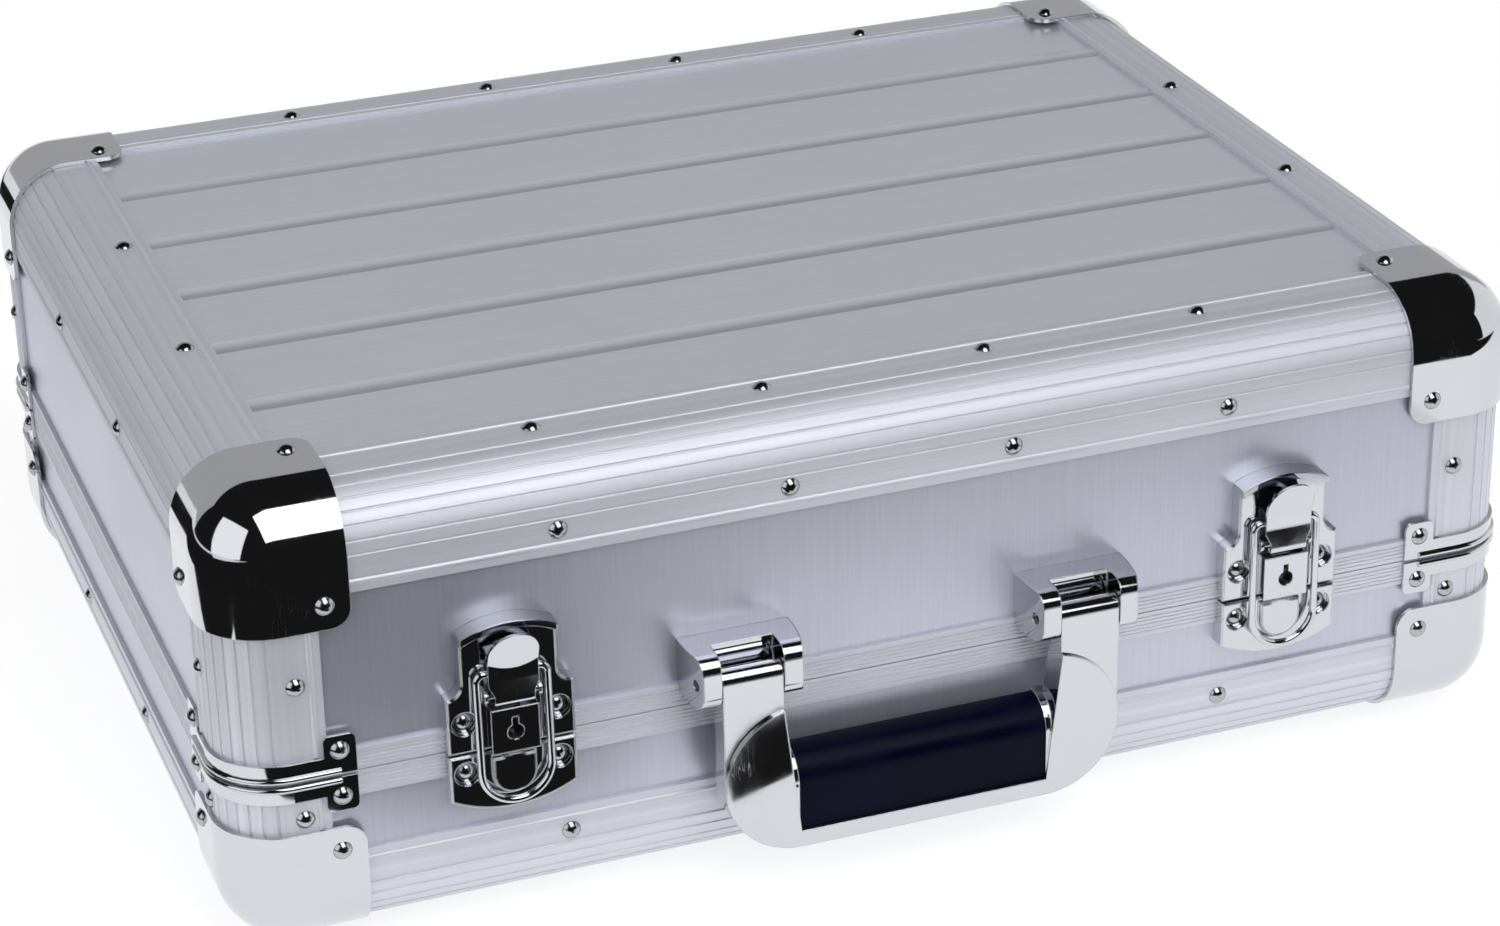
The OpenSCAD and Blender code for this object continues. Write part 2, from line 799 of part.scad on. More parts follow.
// Rivets of the flanges and ball corners, drawn for a lid edge from its top
module edge_rivets() {
  count_w = floor(rim_w / rivet_pitch_w);
  count_d = floor(rim_d / rivet_pitch_d);
  long = count_w - count_w % 2;
  short = count_d - count_d % 2;
  both_y() for (i = [0 : long - 1]) {
    x = (i - (long - 1) / 2) * rivet_pitch_w;
    translate([x, case_d / 2 - rivet_inset, 0]) rivet();
    translate([x, case_d / 2, -rivet_inset]) rotate([-90, 0, 0]) rivet();
  }
  both_x() for (i = [0 : short - 1]) {
    y = (i - (short - 1) / 2) * rivet_pitch_d;
    translate([case_w / 2 - rivet_inset, y, 0]) rivet();
    translate([case_w / 2, y, -rivet_inset]) rotate([0, 90, 0]) rivet();
  }
  both_x() both_y() translate([case_w / 2, case_d / 2, 0]) {
    translate([-ball_rivet_inset, -ball_rivet_inset, ball_off]) rivet();
    both_sides() translate([-ball_rivet_inset, ball_off, -ball_rivet_inset])
      rotate([-90, 0, 0]) rivet();
  }
}

// Rivets of the corner posts and brace tabs at their distances from the split
module split_rivets(post, tab) {
  tab_x = (brace_tab_in + brace_tab_out) / 2;
  at_split_corners() both_sides() {
    translate([-rivet_inset, 0, post]) rotate([-90, 0, 0]) rivet();
    translate([-tab_x, brace_off, tab]) rotate([-90, 0, 0]) rivet();
  }
}

module latch_rivets(height) {
  both_x() translate([latch_x, 0, 0]) both_x()
    translate([dimple_x, -case_d / 2 - dimple_floor, split_h + height])
      rotate([90, 0, 0]) rivet();
}

module hinge_rivets(side) {
  both_x() translate([hinge_x, case_d / 2 + hinge_t, split_h]) for (i = [-1 : 1]) {
    translate([i * hinge_w / 3, 0, side * (hinge_leaf_h - rivet_d)])
      rotate([-90, 0, 0]) rivet();
  }
}

module lid_rivets() {
  color(chrome_tone) on_case() {
    translate([0, 0, case_h]) edge_rivets();
    split_rivets(lid_post_rivet, tab_top_h - brace_tab_r - rivet_d / 2);
    latch_rivets(lid_dimple_h);
    hinge_rivets(1);
  }
}

module base_rivets() {
  color(chrome_tone) on_case() {
    mirror([0, 0, 1]) edge_rivets();
    split_rivets(-base_post_rivet, -split_gap - base_tab_h + brace_tab_r + rivet_d / 2);
    latch_rivets(-catch_dimple_h);
    hinge_rivets(-1);
  }
}

// Feet

module rubber_feet() {
  color(rubber_tone) on_case() at_feet() difference() {
    cylinder(d1 = foot_tip_d, d2 = foot_d, h = foot_h + edge_t);
    translate([0, 0, -cut]) cylinder(d = foot_recess_d, h = foot_recess_h + cut);
    cylinder(r = foot_screw_r + hold_gap, h = foot_h + edge_t + cut);
  }
}

module foot_screws() {
  head_r = foot_recess_d / 2 - latch_t;
  color(chrome_tone) on_case() at_feet() difference() {
    union() {
      translate([0, 0, foot_recess_h - foot_screw_h]) cylinder(r = head_r, h = foot_screw_h);
      cylinder(r = foot_screw_r, h = foot_h + edge_t + foot_screw_in);
    }
    translate([-head_r, -foot_screw_r / 4, -cut])
      cube([2 * head_r, foot_screw_r / 2, cut + foot_recess_h - foot_screw_h / 2]);
    translate([0, 0, -cut])
      cylinder(r = head_r, h = foot_recess_h - foot_screw_h + cut);
  }
}

// Foam lining: plain strips along the walls of base and lid, and a pad between
// them

module foam_walls(low, high) {
  side = foam_d - 2 * foam_side;
  both_y() translate([-foam_w / 2, -case_d / 2 + foam_in, low]) cube([foam_w, foam_t, high - low]);
  both_x() translate([-case_w / 2 + foam_in, -side / 2, low]) cube([foam_t, side, high - low]);
}

module foam_pad() {
  pad_w = foam_w - 2 * foam_side;
  pad_d = foam_d - 2 * foam_side;
  translate([-pad_w / 2, -pad_d / 2, foam_in]) cube([pad_w, pad_d, foam_t]);
}

module base_foam_floor() {
  color(foam_tone) on_case() foam_pad();
}

module base_foam_walls() {
  color(foam_tone) on_case() foam_walls(foam_in, split_h - foam_rim_gap);
}

module lid_foam_pad() {
  color(foam_tone) on_case() from_top() foam_pad();
}

module lid_foam_walls() {
  color(foam_tone) on_case() foam_walls(split_h + foam_rim_gap, case_h - foam_in);
}

// Hinges behind the case, drawn from the split and the back face

module at_hinge(side) {
  on_case() translate([side * hinge_x, case_d / 2, split_h]) children();
}

module knuckle_rod(from, to, r) {
  translate([from, hinge_off, 0]) rotate([0, 90, 0]) cylinder(r = r, h = to - from);
}

// A leaf from the split upwards: a plate over the rim, and a pad that fills the
// step down to the panel
module leaf_plate(low, rim_h) {
  translate([-hinge_w / 2, 0, low]) cube([hinge_w, hinge_t, hinge_leaf_h - low]);
  translate([-hinge_w / 2, -edge_t, rim_h + fit_gap])
    cube([hinge_w, edge_t + hinge_t / 2, hinge_leaf_h - rim_h - fit_gap]);
}

module knuckle_room(from, to) {
  translate([from, -cut, -knuckle_r - hinge_room])
    cube([to - from, hinge_off + knuckle_r + cut, 2 * (knuckle_r + hinge_room)]);
}

module upper_leaf() {
  mid_half = hinge_w / 6;
  difference() {
    union() {
      difference() {
        leaf_plate(split_gap, lid_rim_h);
        knuckle_room(-mid_half - latch_gap, mid_half + latch_gap);
      }
      knuckle_rod(-hinge_w / 2, -mid_half - latch_gap, knuckle_r);
      knuckle_rod(mid_half + latch_gap, hinge_w / 2, knuckle_r);
    }
    knuckle_rod(-hinge_w, hinge_w, hinge_pin_r + hold_gap);
  }
}

module lower_leaf() {
  mid_half = hinge_w / 6;
  difference() {
    union() {
      difference() {
        mirror([0, 0, 1]) leaf_plate(0, base_rim_h);
        knuckle_room(-hinge_w, -mid_half);
        knuckle_room(mid_half, hinge_w);
      }
      knuckle_rod(-mid_half, mid_half, knuckle_r);
    }
    knuckle_rod(-hinge_w, hinge_w, hinge_pin_r + turn_gap);
  }
}

module hinge_left_upper_leaf() {
  color(chrome_tone) at_hinge(-1) upper_leaf();
}

module hinge_right_upper_leaf() {
  color(chrome_tone) at_hinge(1) upper_leaf();
}

module hinge_left_lower_leaf() {
  color(chrome_tone) at_hinge(-1) lower_leaf();
}

module hinge_right_lower_leaf() {
  color(chrome_tone) at_hinge(1) lower_leaf();
}

module hinge_pins() {
  color(chrome_tone) for (side = [-1, 1]) {
    at_hinge(side) knuckle_rod(-hinge_w / 2, hinge_w / 2, hinge_pin_r);
  }
}

// Latches

module at_latch(side) {
  on_case() translate([side * latch_x, 0, 0]) children();
}

// Outline of the lid plate: a wide foot, concave shoulders and an arched top
module plate_outline(inset) {
  half = latch_w / 2 - inset;
  low = plate_low + inset;
  rect(-half, half, low, latch_shoulder_h - inset);
  intersection() {
    dot(0, latch_top_h - arch_r, arch_r - inset);
    rect(inset - latch_top_w / 2, latch_top_w / 2 - inset, low, latch_top_h);
  }
  both_x() difference() {
    rect(0, half, low, latch_shoulder_h + shoulder_r);
    dot(latch_w / 2, latch_shoulder_h + shoulder_r, shoulder_r + inset);
    rect(half - latch_t / 4, latch_w, latch_shoulder_h - inset, latch_top_h);
  }
}

module catch_outline(inset) {
  half = latch_w / 2 - inset;
  intersection() {
    dot(0, catch_arc_r - catch_h, catch_arc_r - inset);
    rect(-half, half, -catch_h, -latch_gap - inset);
  }
}

module dimples(height) {
  for (x = [-dimple_x, dimple_x]) {
    dot(x, height, dimple_r);
  }
}

module dimple_cups(height) {
  for (x = [-dimple_x, dimple_x]) {
    dot(x, height, dimple_r + latch_t);
  }
}

module keyhole() {
  dot(0, key_h, key_r);
  rect(-key_slot_w / 2, key_slot_w / 2, key_h, key_h + key_slot_h);
}

module lever_ear() {
  dot(lever_pin_off, lever_pin_h, ear_r);
  rect(plate_back, lever_pin_off, lever_pin_h - ear_r, lever_pin_h + ear_r);
}

module latch_plate() {
  difference() {
    union() {
      difference() {
        union() {
          on_front(-edge_t, latch_depth - press_step) plate_outline(0);
          on_front(-edge_t, latch_depth) plate_outline(press_step);
        }
        on_front(-edge_t - cut, plate_back) plate_outline(latch_t);
        on_front(-edge_t - cut, fit_gap) rect(-latch_w, latch_w, 0, lid_rim_h + fit_gap);
      }
      on_front(dimple_floor - latch_t, latch_depth) dimple_cups(lid_dimple_h);
      on_front(plate_back, latch_depth + arch_lip_h) difference() {
        plate_outline(0);
        dot(0, latch_top_h - arch_r, arch_r - arch_lip_w);
      }
      sideways(window_half, ear_out) lever_ear();
      sideways(-ear_out, -window_half) lever_ear();
    }
    on_front(dimple_floor, latch_depth + cut) dimples(lid_dimple_h);
    on_front(0, latch_depth + cut) {
      rect(-window_half, window_half, window_low, window_top);
      rect(-tongue_half - latch_gap, tongue_half + latch_gap, tongue_low - latch_gap, window_top);
      dot(0, key_h, cam_hub_r + turn_gap);
    }
    sideways(-latch_w, latch_w) dot(lever_pin_off, lever_pin_h, lever_pin_r + hold_gap);
  }
}

module lock_housing() {
  half = lock_w / 2;
  difference() {
    on_front(latch_depth, lock_depth) rect(-half, half, plate_low, lock_top_h);
    on_front(latch_depth - cut, lock_depth - latch_t)
      rect(latch_t - half, half - latch_t, plate_low + latch_t, lock_inner_top);
    on_front(latch_depth, lock_depth + cut) keyhole();
  }
}

// The lock's turning piece: a keyed disc behind the keyhole, a hub through the
// plate, and a lobe behind it that stops the lever's tongue when it points up
module lock_cam() {
  disc_front_off = lock_depth - latch_t - latch_gap;
  key_floor = latch_depth + latch_gap + latch_t;
  difference() {
    on_front(latch_depth + latch_gap, disc_front_off) dot(0, key_h, cam_disc_r);
    on_front(key_floor, lock_depth) {
      dot(0, key_h, key_r);
      rect(-key_slot_w / 2, key_slot_w / 2, key_h, key_h + cam_disc_r - latch_t);
    }
  }
  on_front(cam_back, latch_depth + 2 * latch_gap) dot(0, key_h, cam_hub_r);
  on_front(cam_back, cam_front) {
    rect(0, cam_reach - cam_half, key_h - cam_half, key_h + cam_half);
    dot(cam_reach - cam_half, key_h, cam_half);
  }
}

// The lever's face from the side: straight to the crease, then curled outwards
module lever_side() {
  rect(lever_in, lever_off, lever_pin_h - lever_low, crease_h);
  intersection() {
    difference() {
      dot(lever_off + lever_curl_r, crease_h, lever_curl_r + lever_t);
      dot(lever_off + lever_curl_r, crease_h, lever_curl_r);
    }
    rect(0, lever_off + lever_curl_r, crease_h - fit_gap, lever_top_h);
  }
}

// The lever's face from the front: a narrow neck that widens to a round tab
module lever_front() {
  neck_top = lever_pin_h + latch_t;
  wide_from = neck_top + 2 * (tab_half - neck_half);
  rect(-neck_half, neck_half, lever_pin_h - lever_low, crease_h);
  rect(-tab_half, tab_half, wide_from, lever_top_h - tab_half);
  polygon([
    [-neck_half, neck_top], [neck_half, neck_top],
    [tab_half, wide_from], [-tab_half, wide_from]
  ]);
  dot(0, lever_top_h - tab_half, tab_half);
}

module lever_flange() {
  difference() {
    union() {
      dot(lever_pin_off, lever_pin_h, ear_r);
      dot(bail_pivot_off, bail_pivot_z, eye_r);
      rect(lever_pin_off - ear_r, lever_in + lever_t / 2, lever_pin_h, bail_pivot_z);
      rect(lever_pin_off, lever_in + lever_t / 2, lever_pin_h - lever_low, lever_pin_h);
    }
    dot(lever_pin_off, lever_pin_h, lever_pin_r + turn_gap);
    dot(bail_pivot_off, bail_pivot_z, bail_wire_r + turn_gap);
    rect(lever_off, lock_depth + latch_depth, 0, latch_top_h);
  }
}

module latch_lever() {
  intersection() {
    sideways(-latch_w, latch_w) lever_side();
    on_front(0, 2 * lock_depth) lever_front();
  }
  sideways(flange_in, flange_out) lever_flange();
  sideways(-flange_out, -flange_in) lever_flange();
  sideways(-flange_out, flange_out)
    rect(tongue_back, tongue_back + lever_t, lever_pin_h, lever_pin_h + ear_r);
  sideways(-flange_out, flange_out)
    rect(tongue_back, tongue_front, lever_pin_h + lever_pin_r, lever_pin_h + ear_r);
  sideways(-tongue_half, tongue_half)
    rect(tongue_back, tongue_back + lever_t, tongue_low, lever_pin_h + lever_pin_r);
}

// The bail, drawn downwards from its turned-in ends, half at a time
module bail_half() {
  side_x = bail_half_w - bail_bend_r;
  arc_z = bail_half_w - bail_drop;
  translate([flange_in, 0, 0]) rotate([0, 90, 0]) cylinder(r = bail_wire_r, h = side_x - flange_in);
  translate([side_x, 0, -bail_bend_r]) rotate([90, 0, 0])
    rotate_extrude(angle = 90) dot(bail_bend_r, 0, bail_wire_r);
  translate([bail_half_w, 0, arc_z]) cylinder(r = bail_wire_r, h = -bail_bend_r - arc_z);
  translate([0, 0, arc_z]) rotate([90, 0, 0]) rotate([0, 0, -90])
    rotate_extrude(angle = 90) dot(bail_half_w, 0, bail_wire_r);
}

module latch_bail() {
  translate([0, -case_d / 2 - bail_pivot_off, split_h + bail_pivot_z])
    rotate([-bail_tilt, 0, 0]) both_x() bail_half();
}

module dome_outline(half) {
  rect(-half, half, -dome_low, half - dome_half_w - dome_top);
  dot(0, -dome_low, half);
}

module latch_catch() {
  difference() {
    union() {
      difference() {
        union() {
          on_front(-edge_t, latch_depth - press_step) catch_outline(0);
          on_front(-edge_t, latch_depth) catch_outline(press_step);
        }
        on_front(-edge_t - cut, plate_back) catch_outline(latch_t);
        on_front(-edge_t - cut, fit_gap) rect(-latch_w, latch_w, -base_rim_h - fit_gap, 0);
      }
      on_front(dimple_floor - latch_t, latch_depth) dimple_cups(-catch_dimple_h);
      on_front(plate_back, dome_depth - press_step) dome_outline(dome_half_w);
      on_front(plate_back, dome_depth) dome_outline(dome_half_w - press_step);
    }
    on_front(dimple_floor, latch_depth + cut) dimples(-catch_dimple_h);
  }
}

module latch_left_plate() {
  color(chrome_tone) at_latch(-1) latch_plate();
}

module latch_right_plate() {
  color(chrome_tone) at_latch(1) latch_plate();
}

module latch_left_lock_housing() {
  color(chrome_tone) at_latch(-1) lock_housing();
}

module latch_right_lock_housing() {
  color(chrome_tone) at_latch(1) lock_housing();
}

module latch_left_lever() {
  color(chrome_tone) at_latch(-1) latch_lever();
}

module latch_right_lever() {
  color(chrome_tone) at_latch(1) latch_lever();
}

module latch_left_bail() {
  color(chrome_tone) at_latch(-1) latch_bail();
}

module latch_right_bail() {
  color(chrome_tone) at_latch(1) latch_bail();
}

module latch_left_catch() {
  color(chrome_tone) at_latch(-1) latch_catch();
}

module latch_right_catch() {
  color(chrome_tone) at_latch(1) latch_catch();
}

// The locks mirror each other, so the left cam is the right one mirrored
module latch_left_lock_cam() {
  color(chrome_tone) mirror([1, 0, 0]) at_latch(1) lock_cam();
}

module latch_right_lock_cam() {
  color(chrome_tone) at_latch(1) lock_cam();
}

module latch_lever_pins() {
  color(chrome_tone) for (side = [-1, 1]) {
    at_latch(side) sideways(-ear_out, ear_out) dot(lever_pin_off, lever_pin_h, lever_pin_r);
  }
}

// Handle

module bracket_side() {
  z0 = bracket_low;
  z1 = bracket_top;
  rect(fit_gap, bracket_depth - bracket_r, z0, z1);
  rect(fit_gap, bracket_depth, z0 + bracket_r, z1 - bracket_r);
  dot(bracket_depth - bracket_r, z0 + bracket_r, bracket_r);
  dot(bracket_depth - bracket_r, z1 - bracket_r, bracket_r);
  rect(-edge_t, bracket_r, lid_rim_h + fit_gap, z1);
}

// A bracket seen from above, bounded on each side by a shallow arc
module bracket_plan() {
  translate([0, -case_d / 2, split_h]) linear_extrude(bracket_top + cut) intersection() {
    dot(bulge_r - bracket_w / 2, 0, bulge_r);
    dot(bracket_w / 2 - bulge_r, 0, bulge_r);
  }
}

module bracket() {
  difference() {
    intersection() {
      sideways(-bracket_w / 2, bracket_w / 2) bracket_side();
      bracket_plan();
    }
    sideways(-slot_half, slot_half) rect(pocket_back, bracket_depth + cut, 0, bracket_top + cut);
    sideways(-bracket_w, bracket_w) dot(pivot_off, pivot_h, handle_pin_r + hold_gap);
  }
}

module at_bracket(side) {
  on_case() translate([side * handle_span / 2, 0, 0]) children();
}

module handle_left_bracket() {
  color(chrome_tone) at_bracket(-1) bracket();
}

module handle_right_bracket() {
  color(chrome_tone) at_bracket(1) bracket();
}

module handle_pins() {
  color(chrome_tone) for (side = [-1, 1]) {
    at_bracket(side) sideways(-pin_half, pin_half) dot(pivot_off, pivot_h, handle_pin_r);
  }
}

// Outline of the grip from the side: flat behind and below, rounded in front
module grip_outline(lip) {
  back = grip_back - lip;
  front = grip_back + grip_t + lip;
  top = grip_low + grip_h + lip;
  r = grip_r + lip;
  rect(back, front, grip_low, top - r);
  rect(back, front - r, grip_low, top);
  intersection() {
    dot(front - r, top - r, r);
    rect(back, front, grip_low, top);
  }
}

// The gap between the arms, which narrows towards the grip
module window_outline() {
  taper_top = disc_z + handle_disc_r - handle_step;
  polygon([
    [-arm_in, pivot_h], [arm_in, pivot_h], [arm_in, taper_top],
    [window_bottom_half, rim_top], [-window_bottom_half, rim_top], [-arm_in, taper_top]
  ]);
}

module handle_bar() {
  color(chrome_tone) on_case() {
    both_x() difference() {
      union() {
        sideways(arm_in, arm_out) {
          dot(pivot_off, pivot_h, knuckle_off);
          rect(arm_back, arm_front, disc_z, pivot_h);
        }
        on_front(disc_back, disc_front) difference() {
          dot(disc_x, disc_z, handle_disc_r);
          window_outline();
          rect(-handle_span, 0, handle_low - cut, pivot_h);
        }
      }
      sideways(0, handle_span) dot(pivot_off, pivot_h, handle_pin_r + turn_gap);
    }
    on_front(disc_back, disc_front) rect(-disc_x, disc_x, handle_low, rim_top);
    both_x() sideways(grip_half + fit_gap, arm_in - collar_lip) grip_outline(collar_lip);
    sideways(-arm_in + collar_lip, arm_in - collar_lip) dot(rod_off, rod_z, grip_rod_r);
  }
}

module handle_grip() {
  color(rubber_tone) on_case() difference() {
    sideways(-grip_half, grip_half) grip_outline(0);
    sideways(-arm_in, arm_in) dot(rod_off, rod_z, grip_rod_r + fit_gap);
  }
}

base_floor_panel();
base_front_panel();
base_back_panel();
base_side_panels();
base_long_edges();
base_short_edges();
base_corner_posts();
base_rim();
base_ball_corner_front_left();
base_ball_corner_front_right();
base_ball_corner_back_left();
base_ball_corner_back_right();
base_corner_braces();
base_foam_floor();
base_foam_walls();
rubber_feet();
foot_screws();
base_rivets();
latch_left_catch();
latch_right_catch();
hinge_left_lower_leaf();
hinge_right_lower_leaf();
lid_top_panel();
lid_front_panel();
lid_back_panel();
lid_side_panels();
lid_long_edges();
lid_short_edges();
lid_corner_posts();
lid_rim();
lid_ball_corner_front_left();
lid_ball_corner_front_right();
lid_ball_corner_back_left();
lid_ball_corner_back_right();
lid_corner_braces();
lid_foam_pad();
lid_foam_walls();
lid_rivets();
latch_left_plate();
latch_right_plate();
latch_left_lock_housing();
latch_right_lock_housing();
latch_left_lock_cam();
latch_right_lock_cam();
latch_left_lever();
latch_right_lever();
latch_left_bail();
latch_right_bail();
latch_lever_pins();
hinge_left_upper_leaf();
hinge_right_upper_leaf();
hinge_pins();
handle_left_bracket();
handle_right_bracket();
handle_pins();
handle_bar();
handle_grip();
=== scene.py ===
"""Finishes, pressed levers, foam lining and studio for a flight case with a hinged lid."""

import math

import bmesh
import bpy
import numpy as np
from bpy.props import FloatProperty, FloatVectorProperty, IntProperty, PointerProperty
from mathutils import Matrix, Vector


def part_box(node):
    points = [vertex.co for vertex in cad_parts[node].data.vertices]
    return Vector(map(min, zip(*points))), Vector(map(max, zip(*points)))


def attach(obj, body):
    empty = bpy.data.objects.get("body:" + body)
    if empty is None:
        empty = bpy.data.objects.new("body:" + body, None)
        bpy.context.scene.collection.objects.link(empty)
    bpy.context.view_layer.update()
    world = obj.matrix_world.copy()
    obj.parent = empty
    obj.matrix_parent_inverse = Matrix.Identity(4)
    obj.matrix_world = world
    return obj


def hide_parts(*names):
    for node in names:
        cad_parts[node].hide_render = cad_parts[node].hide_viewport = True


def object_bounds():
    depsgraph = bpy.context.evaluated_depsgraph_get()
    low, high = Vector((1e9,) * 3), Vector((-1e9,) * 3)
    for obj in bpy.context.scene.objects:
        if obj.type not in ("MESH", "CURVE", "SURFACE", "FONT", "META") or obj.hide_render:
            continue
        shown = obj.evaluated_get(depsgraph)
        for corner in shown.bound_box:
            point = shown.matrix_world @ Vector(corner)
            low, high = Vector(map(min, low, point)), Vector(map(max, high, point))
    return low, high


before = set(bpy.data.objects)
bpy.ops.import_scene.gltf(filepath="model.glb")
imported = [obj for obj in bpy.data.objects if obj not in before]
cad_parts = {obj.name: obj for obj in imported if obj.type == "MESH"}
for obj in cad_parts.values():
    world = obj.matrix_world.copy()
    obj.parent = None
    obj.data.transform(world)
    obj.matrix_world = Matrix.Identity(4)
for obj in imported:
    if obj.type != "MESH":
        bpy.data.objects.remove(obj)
CAD_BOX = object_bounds()

bl_info = {
    "name": "Flight case finishes",
    "version": (1, 0, 0),
    "blender": (4, 5, 0),
    "location": "3D View > Sidebar > Flight case",
    "description": "Brushed panels, drawn edges, bright fittings, foam lining and a plain studio",
    "category": "Object",
}

BOX_LOW, BOX_HIGH = (Vector(corner) for corner in CAD_BOX)

# The photograph's viewpoint, and its directions to the right and forward, fitted to the case's edges
CAMERA_PLACE = Vector((-0.4414, -1.23448, 0.7037))
CAMERA_RIGHT = Vector((0.936007, -0.351502, -0.018348))
CAMERA_FORWARD = Vector((0.308912, 0.845345, -0.435849))

# Angles in degrees over which a smooth piece keeps an edge crisp
LEVER_CRISP_ANGLE = 35
FOAM_CRISP_ANGLE = 50


# Settings


class FlightCaseFinish(bpy.types.PropertyGroup):
    """Colours and grain of the case's metals and rubber"""

    top_colour: FloatVectorProperty(
        name="Top colour", description="Brushed sheet with its grain along the width",
        default=(0.72, 0.735, 0.81), subtype="COLOR", size=3, min=0, max=1)
    # The walls are the same sheet as the top; their darker colour is painted shade
    wall_colour: FloatVectorProperty(
        name="Wall colour with painted shade",
        description="Brushed sheet with its grain upright: the top's sheet painted darker as shade",
        default=(0.56, 0.57, 0.665), subtype="COLOR", size=3, min=0, max=1)
    panel_roughness: FloatProperty(
        name="Panel roughness", description="How far the brushed sheet spreads a reflection",
        default=0.33, min=0, max=1, subtype="FACTOR")
    edge_colour: FloatVectorProperty(
        name="Edge colour", description="Clear anodised edge extrusions and closing rims",
        default=(0.72, 0.735, 0.80), subtype="COLOR", size=3, min=0, max=1)
    edge_roughness: FloatProperty(
        name="Edge roughness", description="How far the drawn extrusions spread a reflection",
        default=0.55, min=0, max=1, subtype="FACTOR")
    fitting_colour: FloatVectorProperty(
        name="Fitting colour", description="Bright plating on corners, latches and handle",
        default=(0.6, 0.605, 0.64), subtype="COLOR", size=3, min=0, max=1)
    grip_colour: FloatVectorProperty(
        name="Grip colour", description="Blue black covering of the handle's grip",
        default=(0.0004, 0.0006, 0.009), subtype="COLOR", size=3, min=0, max=1)
    foot_colour: FloatVectorProperty(
        name="Foot colour", description="Black rubber of the feet",
        default=(0.012, 0.012, 0.013), subtype="COLOR", size=3, min=0, max=1)
    grain_width: FloatProperty(
        name="Grain width", description="Width of one brushed line across the grain",
        default=0.00035, min=0.0001, max=0.002, unit="LENGTH", precision=5)
    grain_length: FloatProperty(
        name="Grain length", description="Length of one brushed line along the grain",
        default=0.03, min=0.002, max=0.2, unit="LENGTH", precision=4)
    edge_rounding: FloatProperty(
        name="Edge rounding", description="Radius of the softened sheet edges of bright fittings",
        default=0.0004, min=0.0001, max=0.001, unit="LENGTH", precision=5)


class FlightCaseLevers(bpy.types.PropertyGroup):
    """Pressed form of the latch levers"""

    pad_lean: FloatProperty(
        name="Pad lean", description="Slope of the thumb pad where it leaves the crease",
        default=0.32, min=0, max=0.4)
    foot_lift: FloatProperty(
        name="Foot lift", description="How far the face stands out over its rolled foot",
        default=0.00063, min=0, max=0.0007, unit="LENGTH", precision=5)
    crease_dip: FloatProperty(
        name="Crease dip", description="How far the sheet dips at the crease, in front of the bail's ends",
        default=0.00014, min=0, max=0.00018, unit="LENGTH", precision=5)
    crease_bow: FloatProperty(
        name="Crease bow",
        description="How much higher the crease runs at its ends, per metre squared aside",
        default=30, min=0, max=60)
    cut: FloatProperty(
        name="Cut", description="Distance between the rows of points on the pressed sheet",
        default=0.0004, min=0.0002, max=0.002, unit="LENGTH", precision=5)


class FlightCaseFoam(bpy.types.PropertyGroup):
    """Sizes and colour of the foam lining"""

    colour: FloatVectorProperty(
        name="Foam colour", description="Dark grey open cell foam",
        default=(0.028, 0.028, 0.03), subtype="COLOR", size=3, min=0, max=1)
    softness: FloatProperty(
        name="Edge softness", description="Radius of the foam's rounded edges",
        default=0.004, min=0.001, max=0.006, unit="LENGTH", precision=4)
    wave_pitch: FloatProperty(
        name="Wave pitch", description="Distance between the lid foam's humps",
        default=0.028, min=0.015, max=0.05, unit="LENGTH", precision=4)
    wave_depth: FloatProperty(
        name="Wave depth", description="Depth of the hollows between the lid foam's humps",
        default=0.006, min=0.001, max=0.008, unit="LENGTH", precision=4)
    dimple_pitch: FloatProperty(
        name="Dimple pitch", description="Distance between the base pad's shallow hollows",
        default=0.14, min=0.05, max=0.4, unit="LENGTH", precision=4)
    dimple_depth: FloatProperty(
        name="Dimple depth", description="Depth of the base pad's shallow hollows",
        default=0.0012, min=0, max=0.004, unit="LENGTH", precision=4)
    slack_pitch: FloatProperty(
        name="Slack pitch", description="Distance between the places where a wall strip stands proud",
        default=0.11, min=0.05, max=0.4, unit="LENGTH", precision=4)
    slack_depth: FloatProperty(
        name="Slack depth", description="How far a wall strip lies back between those places",
        default=0.001, min=0, max=0.004, unit="LENGTH", precision=4)
    corner_gap: FloatProperty(
        name="Corner gap", description="Gap between two wall strips where they meet in a corner",
        default=0.0003, min=0.0001, max=0.003, unit="LENGTH", precision=5)
    grid_step: FloatProperty(
        name="Grid step", description="Distance between the points of a foam surface",
        default=0.0028, min=0.0015, max=0.01, unit="LENGTH", precision=4)


